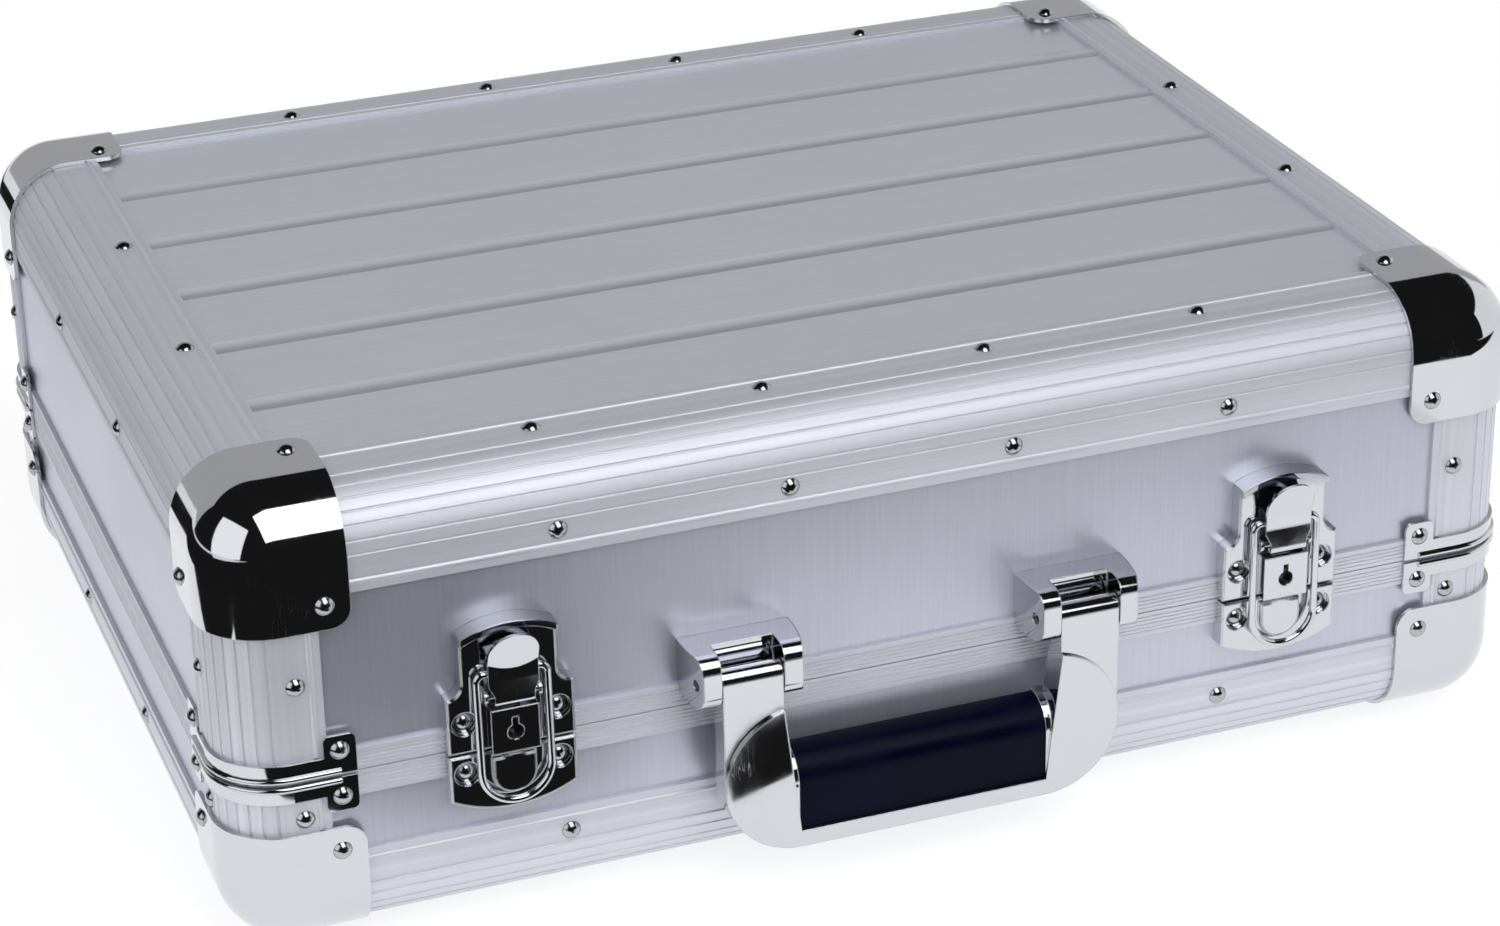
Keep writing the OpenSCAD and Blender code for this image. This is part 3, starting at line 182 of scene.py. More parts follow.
class FlightCaseStudio(bpy.types.PropertyGroup):
    """Floor, lamps, cards and camera"""

    floor_size: FloatProperty(
        name="Floor size", description="Width of the plain floor",
        default=12, min=2, max=40, unit="LENGTH")
    floor_colour: FloatVectorProperty(
        name="Floor colour", description="Plain white floor",
        default=(0.45, 0.45, 0.45), subtype="COLOR", size=3, min=0, max=1)
    floor_lift: FloatProperty(
        name="Floor lift", description="How much whiter the floor is to the camera and in bright metals",
        default=0.68, min=0, max=1)
    front_power: FloatProperty(
        name="Front lamp power", description="Power of the soft lamp in front on the right",
        default=10, min=0, max=200, unit="POWER")
    side_power: FloatProperty(
        name="Side lamp power", description="Power of the soft lamp on the left",
        default=6, min=0, max=200, unit="POWER")
    front_tone: FloatProperty(
        name="Front lamp tone", description="How bright the front lamp looks in the metals; white is 1",
        default=3.0, min=0, max=20)
    side_tone: FloatProperty(
        name="Side lamp tone", description="How bright the side lamp looks in the metals; white is 1",
        default=1.25, min=0, max=20)
    ambient: FloatProperty(
        name="Ambient light", description="Strength of the light from all sides",
        default=0.55, min=0, max=2)
    backdrop_tone: FloatProperty(
        name="Backdrop tone", description="Grey of the card behind the case that its top mirrors",
        default=0.48, min=0, max=1, subtype="FACTOR")
    frame_width: IntProperty(
        name="Frame width", description="Width of the picture that the lens is worked out for",
        default=1500, min=100)
    focal_pixels: FloatProperty(
        name="Focal length in pixels", description="Distance of the picture plane in pixels",
        default=3857.16, min=100)


# Node helpers: small functions that place and join shader nodes


class Board:
    """A node tree with short ways to add nodes and join their sockets."""

    def __init__(self, tree):
        self.tree = tree
        self.column = 0

    def add(self, kind, joined=None, **facts):
        """Adds a node, sets its facts and input values, and joins named inputs."""
        node = self.tree.nodes.new(kind)
        node.location = (220 * self.column, 0)
        self.column += 1
        for key, value in facts.items():
            setattr(node, key, value)
        for key, value in (joined or {}).items():
            self.put(node, key, value)
        return node

    def put(self, node, key, value):
        """Joins a socket to one of a node's inputs, or sets the input's own value."""
        socket = node.inputs[key]
        if isinstance(value, bpy.types.NodeSocket):
            self.tree.links.new(value, socket)
        elif hasattr(value, "__len__") and len(value) == 3 and socket.type == "RGBA":
            socket.default_value = (*value, 1)
        else:
            socket.default_value = value

    def maths(self, operation, first, second=0.5):
        return self.add("ShaderNodeMath", {0: first, 1: second}, operation=operation).outputs[0]

    def range(self, value, from_low, from_high, to_low, to_high):
        node = self.add("ShaderNodeMapRange", {
            "Value": value, "From Min": from_low, "From Max": from_high,
            "To Min": to_low, "To Max": to_high})
        return node.outputs["Result"]

    def mix(self, share, first, second):
        """Mixes two colours; the node's colour sockets are its inputs 6 and 7 and its output 2."""
        return self.add("ShaderNodeMix", {0: share, 6: first, 7: second}, data_type="RGBA").outputs[2]

    def group(self, tree, joined):
        node = self.add("ShaderNodeGroup", node_tree=tree)
        for key, value in joined.items():
            self.put(node, key, value)
        return node


def effect_group(name, inputs, outputs):
    """An empty shader group with named sockets; returns its tree, board, input and output nodes."""
    tree = bpy.data.node_groups.new(name, "ShaderNodeTree")
    for label, kind, value in inputs:
        socket = tree.interface.new_socket(name=label, in_out="INPUT", socket_type=kind)
        if value is not None:
            socket.default_value = value
    for label, kind in outputs:
        tree.interface.new_socket(name=label, in_out="OUTPUT", socket_type=kind)
    board = Board(tree)
    return tree, board, board.add("NodeGroupInput"), board.add("NodeGroupOutput")


def grain_group():
    """Brushed lines: noise squeezed across the grain and stretched along it, in two widths.

    Lines is the fine relief from 0 to 1, Streaks the wide soft bands of tone.
    """
    name = "Brushed grain"
    if name in bpy.data.node_groups:
        return bpy.data.node_groups[name]
    tree, board, given, result = effect_group(
        name,
        [("Vector", "NodeSocketVector", None), ("Stretch", "NodeSocketVector", (1000, 1000, 1000))],
        [("Lines", "NodeSocketFloat"), ("Streaks", "NodeSocketFloat")])
    spread = board.add(
        "ShaderNodeVectorMath", {0: given.outputs["Vector"], 1: given.outputs["Stretch"]},
        operation="MULTIPLY").outputs[0]
    fine = board.add("ShaderNodeTexNoise", {
        "Vector": spread, "Scale": 1.0, "Detail": 3.0, "Roughness": 0.62})
    wide = board.add("ShaderNodeTexNoise", {
        "Vector": spread, "Scale": 0.11, "Detail": 2.0, "Roughness": 0.5})
    board.put(result, "Lines", fine.outputs["Fac"])
    board.put(result, "Streaks", board.range(wide.outputs["Fac"], 0.3, 0.7, 0.0, 1.0))
    return tree


def handling_group():
    """Marks of use: faint smears in the gloss and sparse fine scratches.

    Smears is cloudy noise; Scratches is where a ridge of stretched noise is thinnest.
    """
    name = "Marks of handling"
    if name in bpy.data.node_groups:
        return bpy.data.node_groups[name]
    tree, board, given, result = effect_group(
        name,
        [("Vector", "NodeSocketVector", None), ("Size", "NodeSocketFloat", 40.0)],
        [("Smears", "NodeSocketFloat"), ("Scratches", "NodeSocketFloat")])
    cloud = board.add("ShaderNodeTexNoise", {
        "Vector": given.outputs["Vector"], "Scale": given.outputs["Size"],
        "Detail": 4.0, "Roughness": 0.55})
    turned = board.add("ShaderNodeMapping", {
        "Vector": given.outputs["Vector"], "Rotation": (0.4, 0.7, 0.5), "Scale": (900, 30, 60)})
    ridge = board.add("ShaderNodeTexNoise", {
        "Vector": turned.outputs[0], "Scale": 1.0, "Detail": 1.0, "Distortion": 0.2})
    away = board.maths("ABSOLUTE", board.maths("SUBTRACT", ridge.outputs["Fac"], 0.5))
    thin = board.range(away, 0.0, 0.012, 1.0, 0.0)
    rare = board.range(cloud.outputs["Fac"], 0.52, 0.66, 0.0, 1.0)
    board.put(result, "Smears", board.range(cloud.outputs["Fac"], 0.35, 0.7, 0.0, 1.0))
    board.put(result, "Scratches", board.maths("MULTIPLY", thin, rare))
    return tree


def soft_edge_group():
    """Softened sheet edges under a fine relief.

    Normal is blended round each edge and then tilted by the relief; Edge is 1 on an edge and 0 away.
    """
    name = "Softened edges"
    if name in bpy.data.node_groups:
        return bpy.data.node_groups[name]
    tree, board, given, result = effect_group(
        name,
        [("Radius", "NodeSocketFloat", 0.0004), ("Relief", "NodeSocketFloat", 0.5),
         ("Strength", "NodeSocketFloat", 0.1), ("Depth", "NodeSocketFloat", 0.0002)],
        [("Normal", "NodeSocketVector"), ("Edge", "NodeSocketFloat")])
    rounded = board.add("ShaderNodeBevel", {"Radius": given.outputs["Radius"]}, samples=4)
    plain = board.add("ShaderNodeNewGeometry")
    match = board.add(
        "ShaderNodeVectorMath", {0: rounded.outputs[0], 1: plain.outputs["Normal"]},
        operation="DOT_PRODUCT")
    tilted = board.add("ShaderNodeBump", {
        "Height": given.outputs["Relief"], "Strength": given.outputs["Strength"],
        "Distance": given.outputs["Depth"], "Normal": rounded.outputs[0]})
    board.put(result, "Normal", tilted.outputs[0])
    board.put(result, "Edge", board.range(match.outputs["Value"], 0.99, 0.8, 0.0, 1.0))
    return tree


def blank_board(owner, shader_kind, output_kind):
    """Clears a material or a world but for one shader and its output; returns board and shader."""
    owner.use_nodes = True
    owner.node_tree.nodes.clear()
    board = Board(owner.node_tree)
    shader = board.add(shader_kind)
    output = board.add(output_kind)
    owner.node_tree.links.new(shader.outputs[0], output.inputs[0])
    return board, shader


def blank_finish(name, shader_kind="ShaderNodeBsdfPrincipled"):
    """A material with only one shader and its output; returns material, board and shader."""
    finish = bpy.data.materials.new(name)
    board, shader = blank_board(finish, shader_kind, "ShaderNodeOutputMaterial")
    return finish, board, shader


def object_place(board):
    return board.add("ShaderNodeTexCoord").outputs["Object"]


def seen_straight(board):
    """1 for rays from the camera, off a mirror or through glass, and 0 for those that only light."""
    rays = board.add("ShaderNodeLightPath")
    seen = board.maths("MAXIMUM", rays.outputs["Is Camera Ray"], rays.outputs["Is Glossy Ray"])
    return board.maths("MAXIMUM", seen, rays.outputs["Is Transmission Ray"])


# Finishes


def shade(colour, times, lift=0.0):
    """A colour made darker or lighter, with a little white added, and never brighter than white."""
    return [min(1, channel * times + lift) for channel in colour]


def stretch_along(axis, width, length):
    """Scales that give lines of one width across the grain and one length along an axis."""
    scales = [1 / width] * 3
    scales[axis] = 1 / length
    return scales


def brushed_sheet(name, axis, colour, roughness, width, length):
    """Brushed aluminium sheet: tone and gloss follow the lines, with faint smears over them."""
    finish, board, shader = blank_finish(name)
    place = object_place(board)
    grain = board.group(grain_group(), {"Vector": place, "Stretch": stretch_along(axis, width, length)})
    marks = board.group(handling_group(), {"Vector": place, "Size": 9.0})
    dark, light = shade(colour, 0.9), shade(colour, 1.09)
    tone = board.mix(board.range(grain.outputs["Lines"], 0.3, 0.7, 0.25, 0.75), dark, light)
    tone = board.mix(board.range(grain.outputs["Streaks"], 0, 1, 0.0, 0.15), tone, light)
    board.put(shader, "Base Color", tone)
    gloss = board.range(grain.outputs["Lines"], 0.2, 0.8, roughness - 0.03, roughness + 0.04)
    gloss = board.maths("ADD", gloss, board.range(marks.outputs["Smears"], 0, 1, 0.0, 0.05))
    board.put(shader, "Roughness", gloss)
    board.put(shader, "Metallic", 0.75)
    bump = board.add("ShaderNodeBump", {
        "Height": grain.outputs["Lines"], "Strength": 0.1, "Distance": 0.0002})
    board.put(shader, "Normal", bump.outputs[0])
    return finish


def drawn_extrusion(name, axis, colour, roughness, width, length):
    """Clear anodised extrusion: long drawn lines, and a little brighter along its edges."""
    finish, board, shader = blank_finish(name)
    place = object_place(board)
    grain = board.group(grain_group(), {"Vector": place, "Stretch": stretch_along(axis, width, length)})
    marks = board.group(handling_group(), {"Vector": place, "Size": 14.0})
    edges = board.group(soft_edge_group(), {
        "Radius": 0.0003, "Relief": grain.outputs["Lines"], "Strength": 0.08, "Depth": 0.0002})
    smeared = board.range(marks.outputs["Smears"], 0, 1, 0.0, 0.12)
    # The base colour is made a little brighter along the softened edges
    edge_brightening = board.maths("MULTIPLY", edges.outputs["Edge"], 0.35)
    tone = board.mix(grain.outputs["Streaks"], shade(colour, 0.93), shade(colour, 1.06))
    tone = board.mix(smeared, tone, shade(colour, 0.8))
    tone = board.mix(edge_brightening, tone, shade(colour, 1.25))
    board.put(shader, "Base Color", tone)
    gloss = board.range(grain.outputs["Lines"], 0.25, 0.75, roughness - 0.04, roughness + 0.05)
    board.put(shader, "Roughness", gloss)
    board.put(shader, "Metallic", 0.7)
    board.put(shader, "Normal", edges.outputs["Normal"])
    return finish


def bright_plate(name, colour, radius, waves, wave_size, roughness=0.035):
    """Bright plating on steel: softened edges, a slight wave of the sheet and fine scratches.

    Waves is how far the sheet tilts a reflection, and wave_size how many waves there are to a metre.
    """
    finish, board, shader = blank_finish(name)
    place = object_place(board)
    marks = board.group(handling_group(), {"Vector": place, "Size": 60.0})
    wave = board.add("ShaderNodeTexNoise", {
        "Vector": place, "Scale": wave_size, "Detail": 1.0, "Roughness": 0.4})
    edges = board.group(soft_edge_group(), {
        "Radius": radius, "Relief": wave.outputs["Fac"], "Strength": waves, "Depth": 0.003})
    smeared = board.range(marks.outputs["Smears"], 0, 1, 0.0, 0.1)
    board.put(shader, "Base Color", board.mix(smeared, colour, shade(colour, 0.86)))
    gloss = board.range(marks.outputs["Smears"], 0, 1, roughness, roughness + 0.05)
    gloss = board.maths("ADD", gloss, board.maths("MULTIPLY", marks.outputs["Scratches"], 0.22))
    gloss = board.maths("ADD", gloss, board.maths("MULTIPLY", edges.outputs["Edge"], 0.06))
    board.put(shader, "Roughness", gloss)
    board.put(shader, "Metallic", 1.0)
    board.put(shader, "Normal", edges.outputs["Normal"])
    return finish


def moulded_rubber(name, colour, roughness, pebble, shine=0.5):
    """Moulded rubber: a fine pebbled skin, scuffed a little paler and duller in patches."""
    finish, board, shader = blank_finish(name)
    place = object_place(board)
    marks = board.group(handling_group(), {"Vector": place, "Size": 45.0})
    skin = board.add("ShaderNodeTexVoronoi", {"Vector": place, "Scale": pebble})
    scuffed = board.range(marks.outputs["Smears"], 0, 1, 0, 0.5)
    board.put(shader, "Base Color", board.mix(scuffed, colour, shade(colour, 1.5, 0.001)))
    dulled = board.range(marks.outputs["Smears"], 0, 1, roughness, roughness + 0.12)
    board.put(shader, "Roughness", dulled)
    board.put(shader, "Specular IOR Level", shine)
    bump = board.add("ShaderNodeBump", {
        "Height": skin.outputs["Distance"], "Strength": 0.12, "Distance": 0.0003})
    board.put(shader, "Normal", bump.outputs[0])
    return finish


def open_cell_foam(name, colour):
    """Open cell foam: small pores with painted shade in them and painted light on the tops between them,
    over a matte body with a soft sheen.
    """
    finish, board, shader = blank_finish(name)
    place = object_place(board)
    pores = board.add("ShaderNodeTexVoronoi", {"Vector": place, "Scale": 900.0})
    cloud = board.add("ShaderNodeTexNoise", {
        "Vector": place, "Scale": 260.0, "Detail": 4.0, "Roughness": 0.7})
    depth = board.maths("MULTIPLY", pores.outputs["Distance"], cloud.outputs["Fac"])
    # Painted shade and light: the colour darkens into the pores' depths and pales on the tops between them
    pore_shade_to_lit_tops = board.range(depth, 0.1, 0.45, 0.0, 1.0)
    board.put(shader, "Base Color", board.mix(pore_shade_to_lit_tops, shade(colour, 0.45), shade(colour, 1.9, 0.004)))
    board.put(shader, "Roughness", board.range(cloud.outputs["Fac"], 0.3, 0.7, 0.88, 1.0))
    board.put(shader, "Sheen Weight", 0.25)
    bump = board.add("ShaderNodeBump", {"Height": depth, "Strength": 0.5, "Distance": 0.0008})
    board.put(shader, "Normal", bump.outputs[0])
    return finish


def dress(finish, *names):
    """Gives CAD nodes a finish through their material slots."""
    for name in names:
        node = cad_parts[name]
        if not node.material_slots:
            node.data.materials.append(finish)
        for place in node.material_slots:
            place.material = finish


def each(pattern, *parts):
    return [pattern.format(part) for part in parts]


def smooth_piece(name, mesh, crisp_angle):
    """Links a mesh as a piece, shaded smooth but for edges sharper than an angle in degrees."""
    mesh.polygons.foreach_set("use_smooth", np.ones(len(mesh.polygons), bool))
    mesh.update()
    piece = bpy.data.objects.new(name, mesh)
    bpy.context.scene.collection.objects.link(piece)
    crisp = piece.modifiers.new("Crisp edges", "EDGE_SPLIT")
    crisp.split_angle = math.radians(crisp_angle)
    return piece


# Latch levers


def sliced_mesh(node, name, rows, columns):
    """A copy of a node's mesh, merged and then cut at level rows and at upright columns."""
    merged, on_cut, tiny = 1e-6, 1e-7, 2e-6
    shape = bmesh.new()
    shape.from_mesh(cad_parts[node].data)
    bmesh.ops.remove_doubles(shape, verts=shape.verts, dist=merged)
    for axis, places in ((2, rows), (0, columns)):
        for place in places:
            spot, way = Vector(), Vector()
            spot[axis], way[axis] = place, 1
            bmesh.ops.bisect_plane(shape, geom=[*shape.verts, *shape.edges, *shape.faces],
                                   plane_co=spot, plane_no=way, dist=on_cut)
    bmesh.ops.dissolve_degenerate(shape, dist=tiny, edges=shape.edges)
    mesh = bpy.data.meshes.new(name)
    shape.to_mesh(mesh)
    shape.free()
    return mesh


def pressed_lever(node, name, body):
    """The CAD lever with its sheet pressed into a crease between a face and a thumb pad.

    Each point of the sheet moves out: the face rises quickly from its foot to its lift and falls
    straight to the dip below the crease, and above it the pad's lean is added times the height over
    the crease, easing off where the sheet's own curl takes over. The pad's heights are lowered by
    the bow times the squared distance from the lever's middle. The foot clears the lock housing all
    the way as the lever opens.
    """
    sizes = bpy.context.scene.flight_case_levers
    low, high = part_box(node)
    middle, half_width = (low.x + high.x) / 2, 0.008
    sheet_back = high.y - 0.00555
    # Heights at which the closed lever's sheet changes, from its foot up to its top
    foot = low.z + 0.0043
    roll, face, dip = foot + 0.0007, foot + 0.0015, foot + 0.009
    crease, curl, curled, top = foot + 0.0125, foot + 0.0165, foot + 0.023, foot + 0.027
    rows = np.arange(foot + sizes.cut, top, sizes.cut)
    columns = np.arange(middle - half_width, middle + half_width, 2 * sizes.cut)
    mesh = sliced_mesh(node, name, rows, columns)
    points = np.empty(3 * len(mesh.vertices))
    mesh.vertices.foreach_get("co", points)
    points = points.reshape(-1, 3)
    level = points[:, 2] - sizes.crease_bow * (points[:, 0] - middle) ** 2
    straight = np.clip(level - crease, 0, curl - crease)
    bent = np.clip(level - curl, 0, curled - curl)
    pad = straight + bent - bent**2 / (2 * (curled - curl))
    lift = sizes.foot_lift
    out = np.interp(
        points[:, 2], (foot, roll, face, dip), (0.3 * lift, 0.85 * lift, lift, -sizes.crease_dip))
    out += sizes.pad_lean * pad
    points[:, 1] -= np.where(points[:, 1] < sheet_back, out, 0)
    mesh.vertices.foreach_set("co", points.ravel())
    piece = smooth_piece(name, mesh, LEVER_CRISP_ANGLE)
    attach(piece, body)
    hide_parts(node)
    return piece


# Foam


def spread_to_edges(count, span, softness):
    """Places along a side: even in the middle, with five more points inside each rounded edge."""
    middle = np.linspace(softness, span - softness, count)
    turn = np.linspace(0, math.pi / 2, 6)[:-1]
    start = softness * (1 - np.cos(turn))
    return np.concatenate([start, middle, span - start[::-1]])


def soft_slab(low, high, normal_axis, inward, relief, sizes):
    """Points and faces of a foam slab on a grid.

    Its inner face is full height less the relief, and falls to a rounded edge: with d the distance
    to the nearest side, it drops by r - sqrt(r^2 - (r - d)^2) where d < r. The sides go straight
    from the rounded edge to the flat back.
    """
    softness = sizes.softness
    across = [axis for axis in range(3) if axis != normal_axis]
    spans = high[across] - low[across]
    counts = np.maximum(4, np.round(spans / sizes.grid_step)).astype(int) + 1
    ease = [spread_to_edges(count, span, softness) for count, span in zip(counts, spans)]
    first, second = np.meshgrid(ease[0], ease[1], indexing="ij")
    near = np.minimum(np.minimum(first, spans[0] - first), np.minimum(second, spans[1] - second))
    fall = np.clip(softness - near, 0, softness)
    fade = np.clip(near / (3 * softness), 0, 1) ** 2
    height = high[normal_axis] - low[normal_axis] - (softness - np.sqrt(softness**2 - fall**2))
    height = height - relief(first, second, sizes) * fade
    rows, columns = first.shape
    front = np.zeros((rows, columns, 3))
    back = np.zeros((rows, columns, 3))
    for grid in (front, back):
        grid[..., across[0]] = low[across[0]] + first
        grid[..., across[1]] = low[across[1]] + second
    flat = low[normal_axis] if inward > 0 else high[normal_axis]
    front[..., normal_axis] = flat + inward * height
    back[..., normal_axis] = flat
    points = np.concatenate([front.reshape(-1, 3), back.reshape(-1, 3)])
    index = np.arange(rows * columns).reshape(rows, columns)
    quads = np.stack([index[:-1, :-1], index[1:, :-1], index[1:, 1:], index[:-1, 1:]], -1).reshape(-1, 4)
    rim = np.concatenate([index[:, 0], index[-1, 1:], index[-2::-1, -1], index[0, -2:0:-1]])
    after = np.roll(rim, -1)
    other = rows * columns
    skirt = np.stack([rim, rim + other, after + other, after], -1)
    faces = np.concatenate([quads, quads[:, ::-1] + other, skirt])
    first_half, second_half = points[faces[:, [0, 1, 2]]], points[faces[:, [0, 2, 3]]]
    volume = sum(np.linalg.det(half).sum() for half in (first_half, second_half))
    if volume < 0:
        faces = faces[:, [0, 3, 2, 1]]
    return points, faces


def humps(first, second, sizes):
    """Egg box waves: how far the lid's foam lies below its tops."""
    pitch = 2 * math.pi / sizes.wave_pitch
    return sizes.wave_depth * (0.5 - 0.25 * (np.cos(pitch * first) + np.cos(pitch * second)))


def dimples(first, second, sizes):
    """Shallow hollows of the base's pad."""
    pitch = 2 * math.pi / sizes.dimple_pitch
    return sizes.dimple_depth / 2 * (1 - np.cos(pitch * first) * np.cos(pitch * second))


def slack(first, second, sizes):
    """Slow waves along a wall strip that isn't stretched quite flat."""
    return sizes.slack_depth / 2 * (1 - np.cos(2 * math.pi * first / sizes.slack_pitch))


def foam_pad(node, inward, relief, sizes):
    """The one slab of a level pad, whose soft face looks up with inward 1 and down with -1."""
    low, high = (np.array(corner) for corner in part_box(node))
    return [soft_slab(low, high, 2, inward, relief, sizes)]


def foam_walls(node, sizes):
    """The slabs of four wall strips, as thick as the base's pad; the side ones fit between the others."""
    low, high = (np.array(corner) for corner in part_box(node))
    pad_low, pad_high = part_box("base_foam_floor")
    thick = pad_high.z - pad_low.z
    slabs = []
    for axis, room in ((1, 0), (0, thick + sizes.corner_gap)):
        for inward in (1, -1):
            near, far = low.copy(), high.copy()
            if inward > 0:
                far[axis] = low[axis] + thick
            else:
                near[axis] = high[axis] - thick
            near[1 - axis] += room
            far[1 - axis] -= room
            slabs.append(soft_slab(near, far, axis, inward, slack, sizes))
    return slabs


def line_with_foam(node, name, body, slabs, finish):
    """Makes one piece of slabs, which stands for a CAD node and rides on its body."""
    points, faces, count = [], [], 0
    for slab_points, slab_faces in slabs:
        points.append(slab_points)
        faces.append(slab_faces + count)
        count += len(slab_points)
    mesh = bpy.data.meshes.new(name)
    mesh.from_pydata(np.concatenate(points).tolist(), [], np.concatenate(faces).tolist())
    piece = smooth_piece(name, mesh, FOAM_CRISP_ANGLE)
    piece.data.materials.append(finish)
    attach(piece, body)
    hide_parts(node)


# Outlines of stage sheets


def level(height, *places):
    """Corners of a level sheet from their places on the floor plan."""
    return [(x, y, height) for x, y in places]


def oblong(height, left, right, front, back):
    """Corners of a level oblong sheet."""
    return level(height, (left, front), (right, front), (right, back), (left, back))


def screen(place, left, right, bottom, top):
    """Corners of an upright sheet across the depth, which faces the front or the back."""
    return [(left, place, bottom), (right, place, bottom), (right, place, top), (left, place, top)]


# Operators


class FLIGHTCASE_OT_panels(bpy.types.Operator):
    """Gives the panels their brushed sheet, with the grain upright on the walls and the walls' colour a
    darker copy of the top's, which paints shade on them
    """

    bl_idname = "flightcase.panels"
    bl_label = "Brushed panels"

    def execute(self, context):
        looks = context.scene.flight_case_finish
        for label, axis, colour, names in (
            # The upright walls take the darker colour: painted shade on the same sheet as the top
            ("Brushed sheet upright with painted shade", 2, looks.wall_colour,
             ["base_front_panel", "base_back_panel", "base_side_panels",
              "lid_front_panel", "lid_back_panel", "lid_side_panels"]),
            ("Brushed sheet lengthwise", 0, looks.top_colour, ["lid_top_panel", "base_floor_panel"]),
        ):
            finish = brushed_sheet(label, axis, tuple(colour), looks.panel_roughness,
                                   looks.grain_width, looks.grain_length)
            dress(finish, *names)
        return {"FINISHED"}


class FLIGHTCASE_OT_edges(bpy.types.Operator):
    """Gives the edge extrusions, corner posts and closing rims their drawn, anodised finish"""

    bl_idname = "flightcase.edges"
    bl_label = "Drawn edges"

    def execute(self, context):
        looks = context.scene.flight_case_finish
        for label, axis, names in (
            ("Drawn along the width", 0, ["base_long_edges", "lid_long_edges", "base_rim", "lid_rim"]),
            ("Drawn along the depth", 1, ["base_short_edges", "lid_short_edges"]),
            ("Drawn along the height", 2, ["base_corner_posts", "lid_corner_posts"]),
        ):
            finish = drawn_extrusion(label, axis, tuple(looks.edge_colour), looks.edge_roughness,
                                     looks.grain_width, 4 * looks.grain_length)
            dress(finish, *names)
        return {"FINISHED"}


class FLIGHTCASE_OT_fittings(bpy.types.Operator):
    """Gives corners, braces, rivets and hinges their bright plating"""

    bl_idname = "flightcase.fittings"
    bl_label = "Bright fittings"

    def execute(self, context):
        looks = context.scene.flight_case_finish
        colour, radius = tuple(looks.fitting_colour), looks.edge_rounding
        corners = ["front_left", "front_right", "back_left", "back_right"]
        leaves = ["left_lower_leaf", "right_lower_leaf", "left_upper_leaf", "right_upper_leaf"]
        for finish, names in (
            (bright_plate("Bright pressed corners", colour, radius, waves=0.05, wave_size=28.0),
             each("base_ball_corner_{}", *corners) + each("lid_ball_corner_{}", *corners)),
            (bright_plate("Bright braces", colour, radius, waves=0.03, wave_size=90.0),
             ["base_corner_braces", "lid_corner_braces"]),
            (bright_plate("Nickelled rivets", shade(colour, 0.72), radius,
                          waves=0.03, wave_size=250.0, roughness=0.13),
             ["base_rivets", "lid_rivets", "foot_screws"]),
            (bright_plate("Bright hinges", colour, radius, waves=0.03, wave_size=90.0, roughness=0.09),
             each("hinge_{}", *leaves, "pins")),
        ):
            dress(finish, *names)
        return {"FINISHED"}


class FLIGHTCASE_OT_latches(bpy.types.Operator):
    """Gives the latches their bright plating, and the turning lock a darker one"""

    bl_idname = "flightcase.latches"
    bl_label = "Latches"

    def execute(self, context):
        looks = context.scene.flight_case_finish
        colour, radius = tuple(looks.fitting_colour), looks.edge_rounding
        sides = ["left", "right"]
        for finish, names in (
            (bright_plate("Bright latch plates", colour, 2 * radius, waves=0.03, wave_size=60.0),
             each("latch_{}_plate", *sides) + each("latch_{}_catch", *sides)
             + each("latch_{}_lock_housing", *sides)),
            (bright_plate("Bright latch wire", colour, radius, waves=0.015, wave_size=80.0),
             each("latch_{}_bail", *sides) + ["latch_lever_pins"]),
            (bright_plate("Oiled lock steel", shade(colour, 0.12), radius,
                          waves=0.02, wave_size=200.0, roughness=0.3),
             each("latch_{}_lock_cam", *sides)),
        ):
            dress(finish, *names)
        return {"FINISHED"}


class FLIGHTCASE_OT_levers(bpy.types.Operator):
    """Builds the latch levers with their pressed crease and thumb pad"""

    bl_idname = "flightcase.levers"
    bl_label = "Latch levers"

    def execute(self, context):
        looks = context.scene.flight_case_finish
        finish = bright_plate("Bright latch levers", tuple(looks.fitting_colour), looks.edge_rounding,
                              waves=0.015, wave_size=80.0)
        for side in ("left", "right"):
            piece = pressed_lever(f"latch_{side}_lever", f"pressed_{side}_lever", f"{side}_latch_lever")
            piece.data.materials.append(finish)
        return {"FINISHED"}


class FLIGHTCASE_OT_handle(bpy.types.Operator):
    """Gives the handle its bright frame and its dark grip"""

    bl_idname = "flightcase.handle"
    bl_label = "Handle"

    def execute(self, context):
        looks = context.scene.flight_case_finish
        bar_finish = bright_plate("Bright cast handle", tuple(looks.fitting_colour),
                                  2 * looks.edge_rounding, waves=0.012, wave_size=45.0)
        grip_finish = moulded_rubber("Grip covering", tuple(looks.grip_colour),
                                     roughness=0.28, pebble=1500.0, shine=0.08)
        dress(bar_finish, "handle_bar", "handle_left_bracket", "handle_right_bracket", "handle_pins")
        dress(grip_finish, "handle_grip")
        return {"FINISHED"}


class FLIGHTCASE_OT_feet(bpy.types.Operator):
    """Gives the feet their black rubber"""

    bl_idname = "flightcase.feet"
    bl_label = "Feet"

    def execute(self, context):
        colour = tuple(context.scene.flight_case_finish.foot_colour)
        dress(moulded_rubber("Black foot rubber", colour, roughness=0.6, pebble=700.0), "rubber_feet")
        return {"FINISHED"}


class FLIGHTCASE_OT_foam(bpy.types.Operator):
    """Lines the base and the lid with foam"""

    bl_idname = "flightcase.foam"
    bl_label = "Foam lining"

    def execute(self, context):
        sizes = context.scene.flight_case_foam
        finish = open_cell_foam("Open cell foam", tuple(sizes.colour))
        for node, name, body, slabs in (
            ("base_foam_floor", "base_floor_foam", "base", foam_pad("base_foam_floor", 1, dimples, sizes)),
            ("base_foam_walls", "base_wall_foam", "base", foam_walls("base_foam_walls", sizes)),
            ("lid_foam_pad", "lid_wave_foam", "lid", foam_pad("lid_foam_pad", -1, humps, sizes)),
            ("lid_foam_walls", "lid_wall_foam", "lid", foam_walls("lid_foam_walls", sizes)),
        ):
            line_with_foam(node, name, body, slabs, finish)
        return {"FINISHED"}


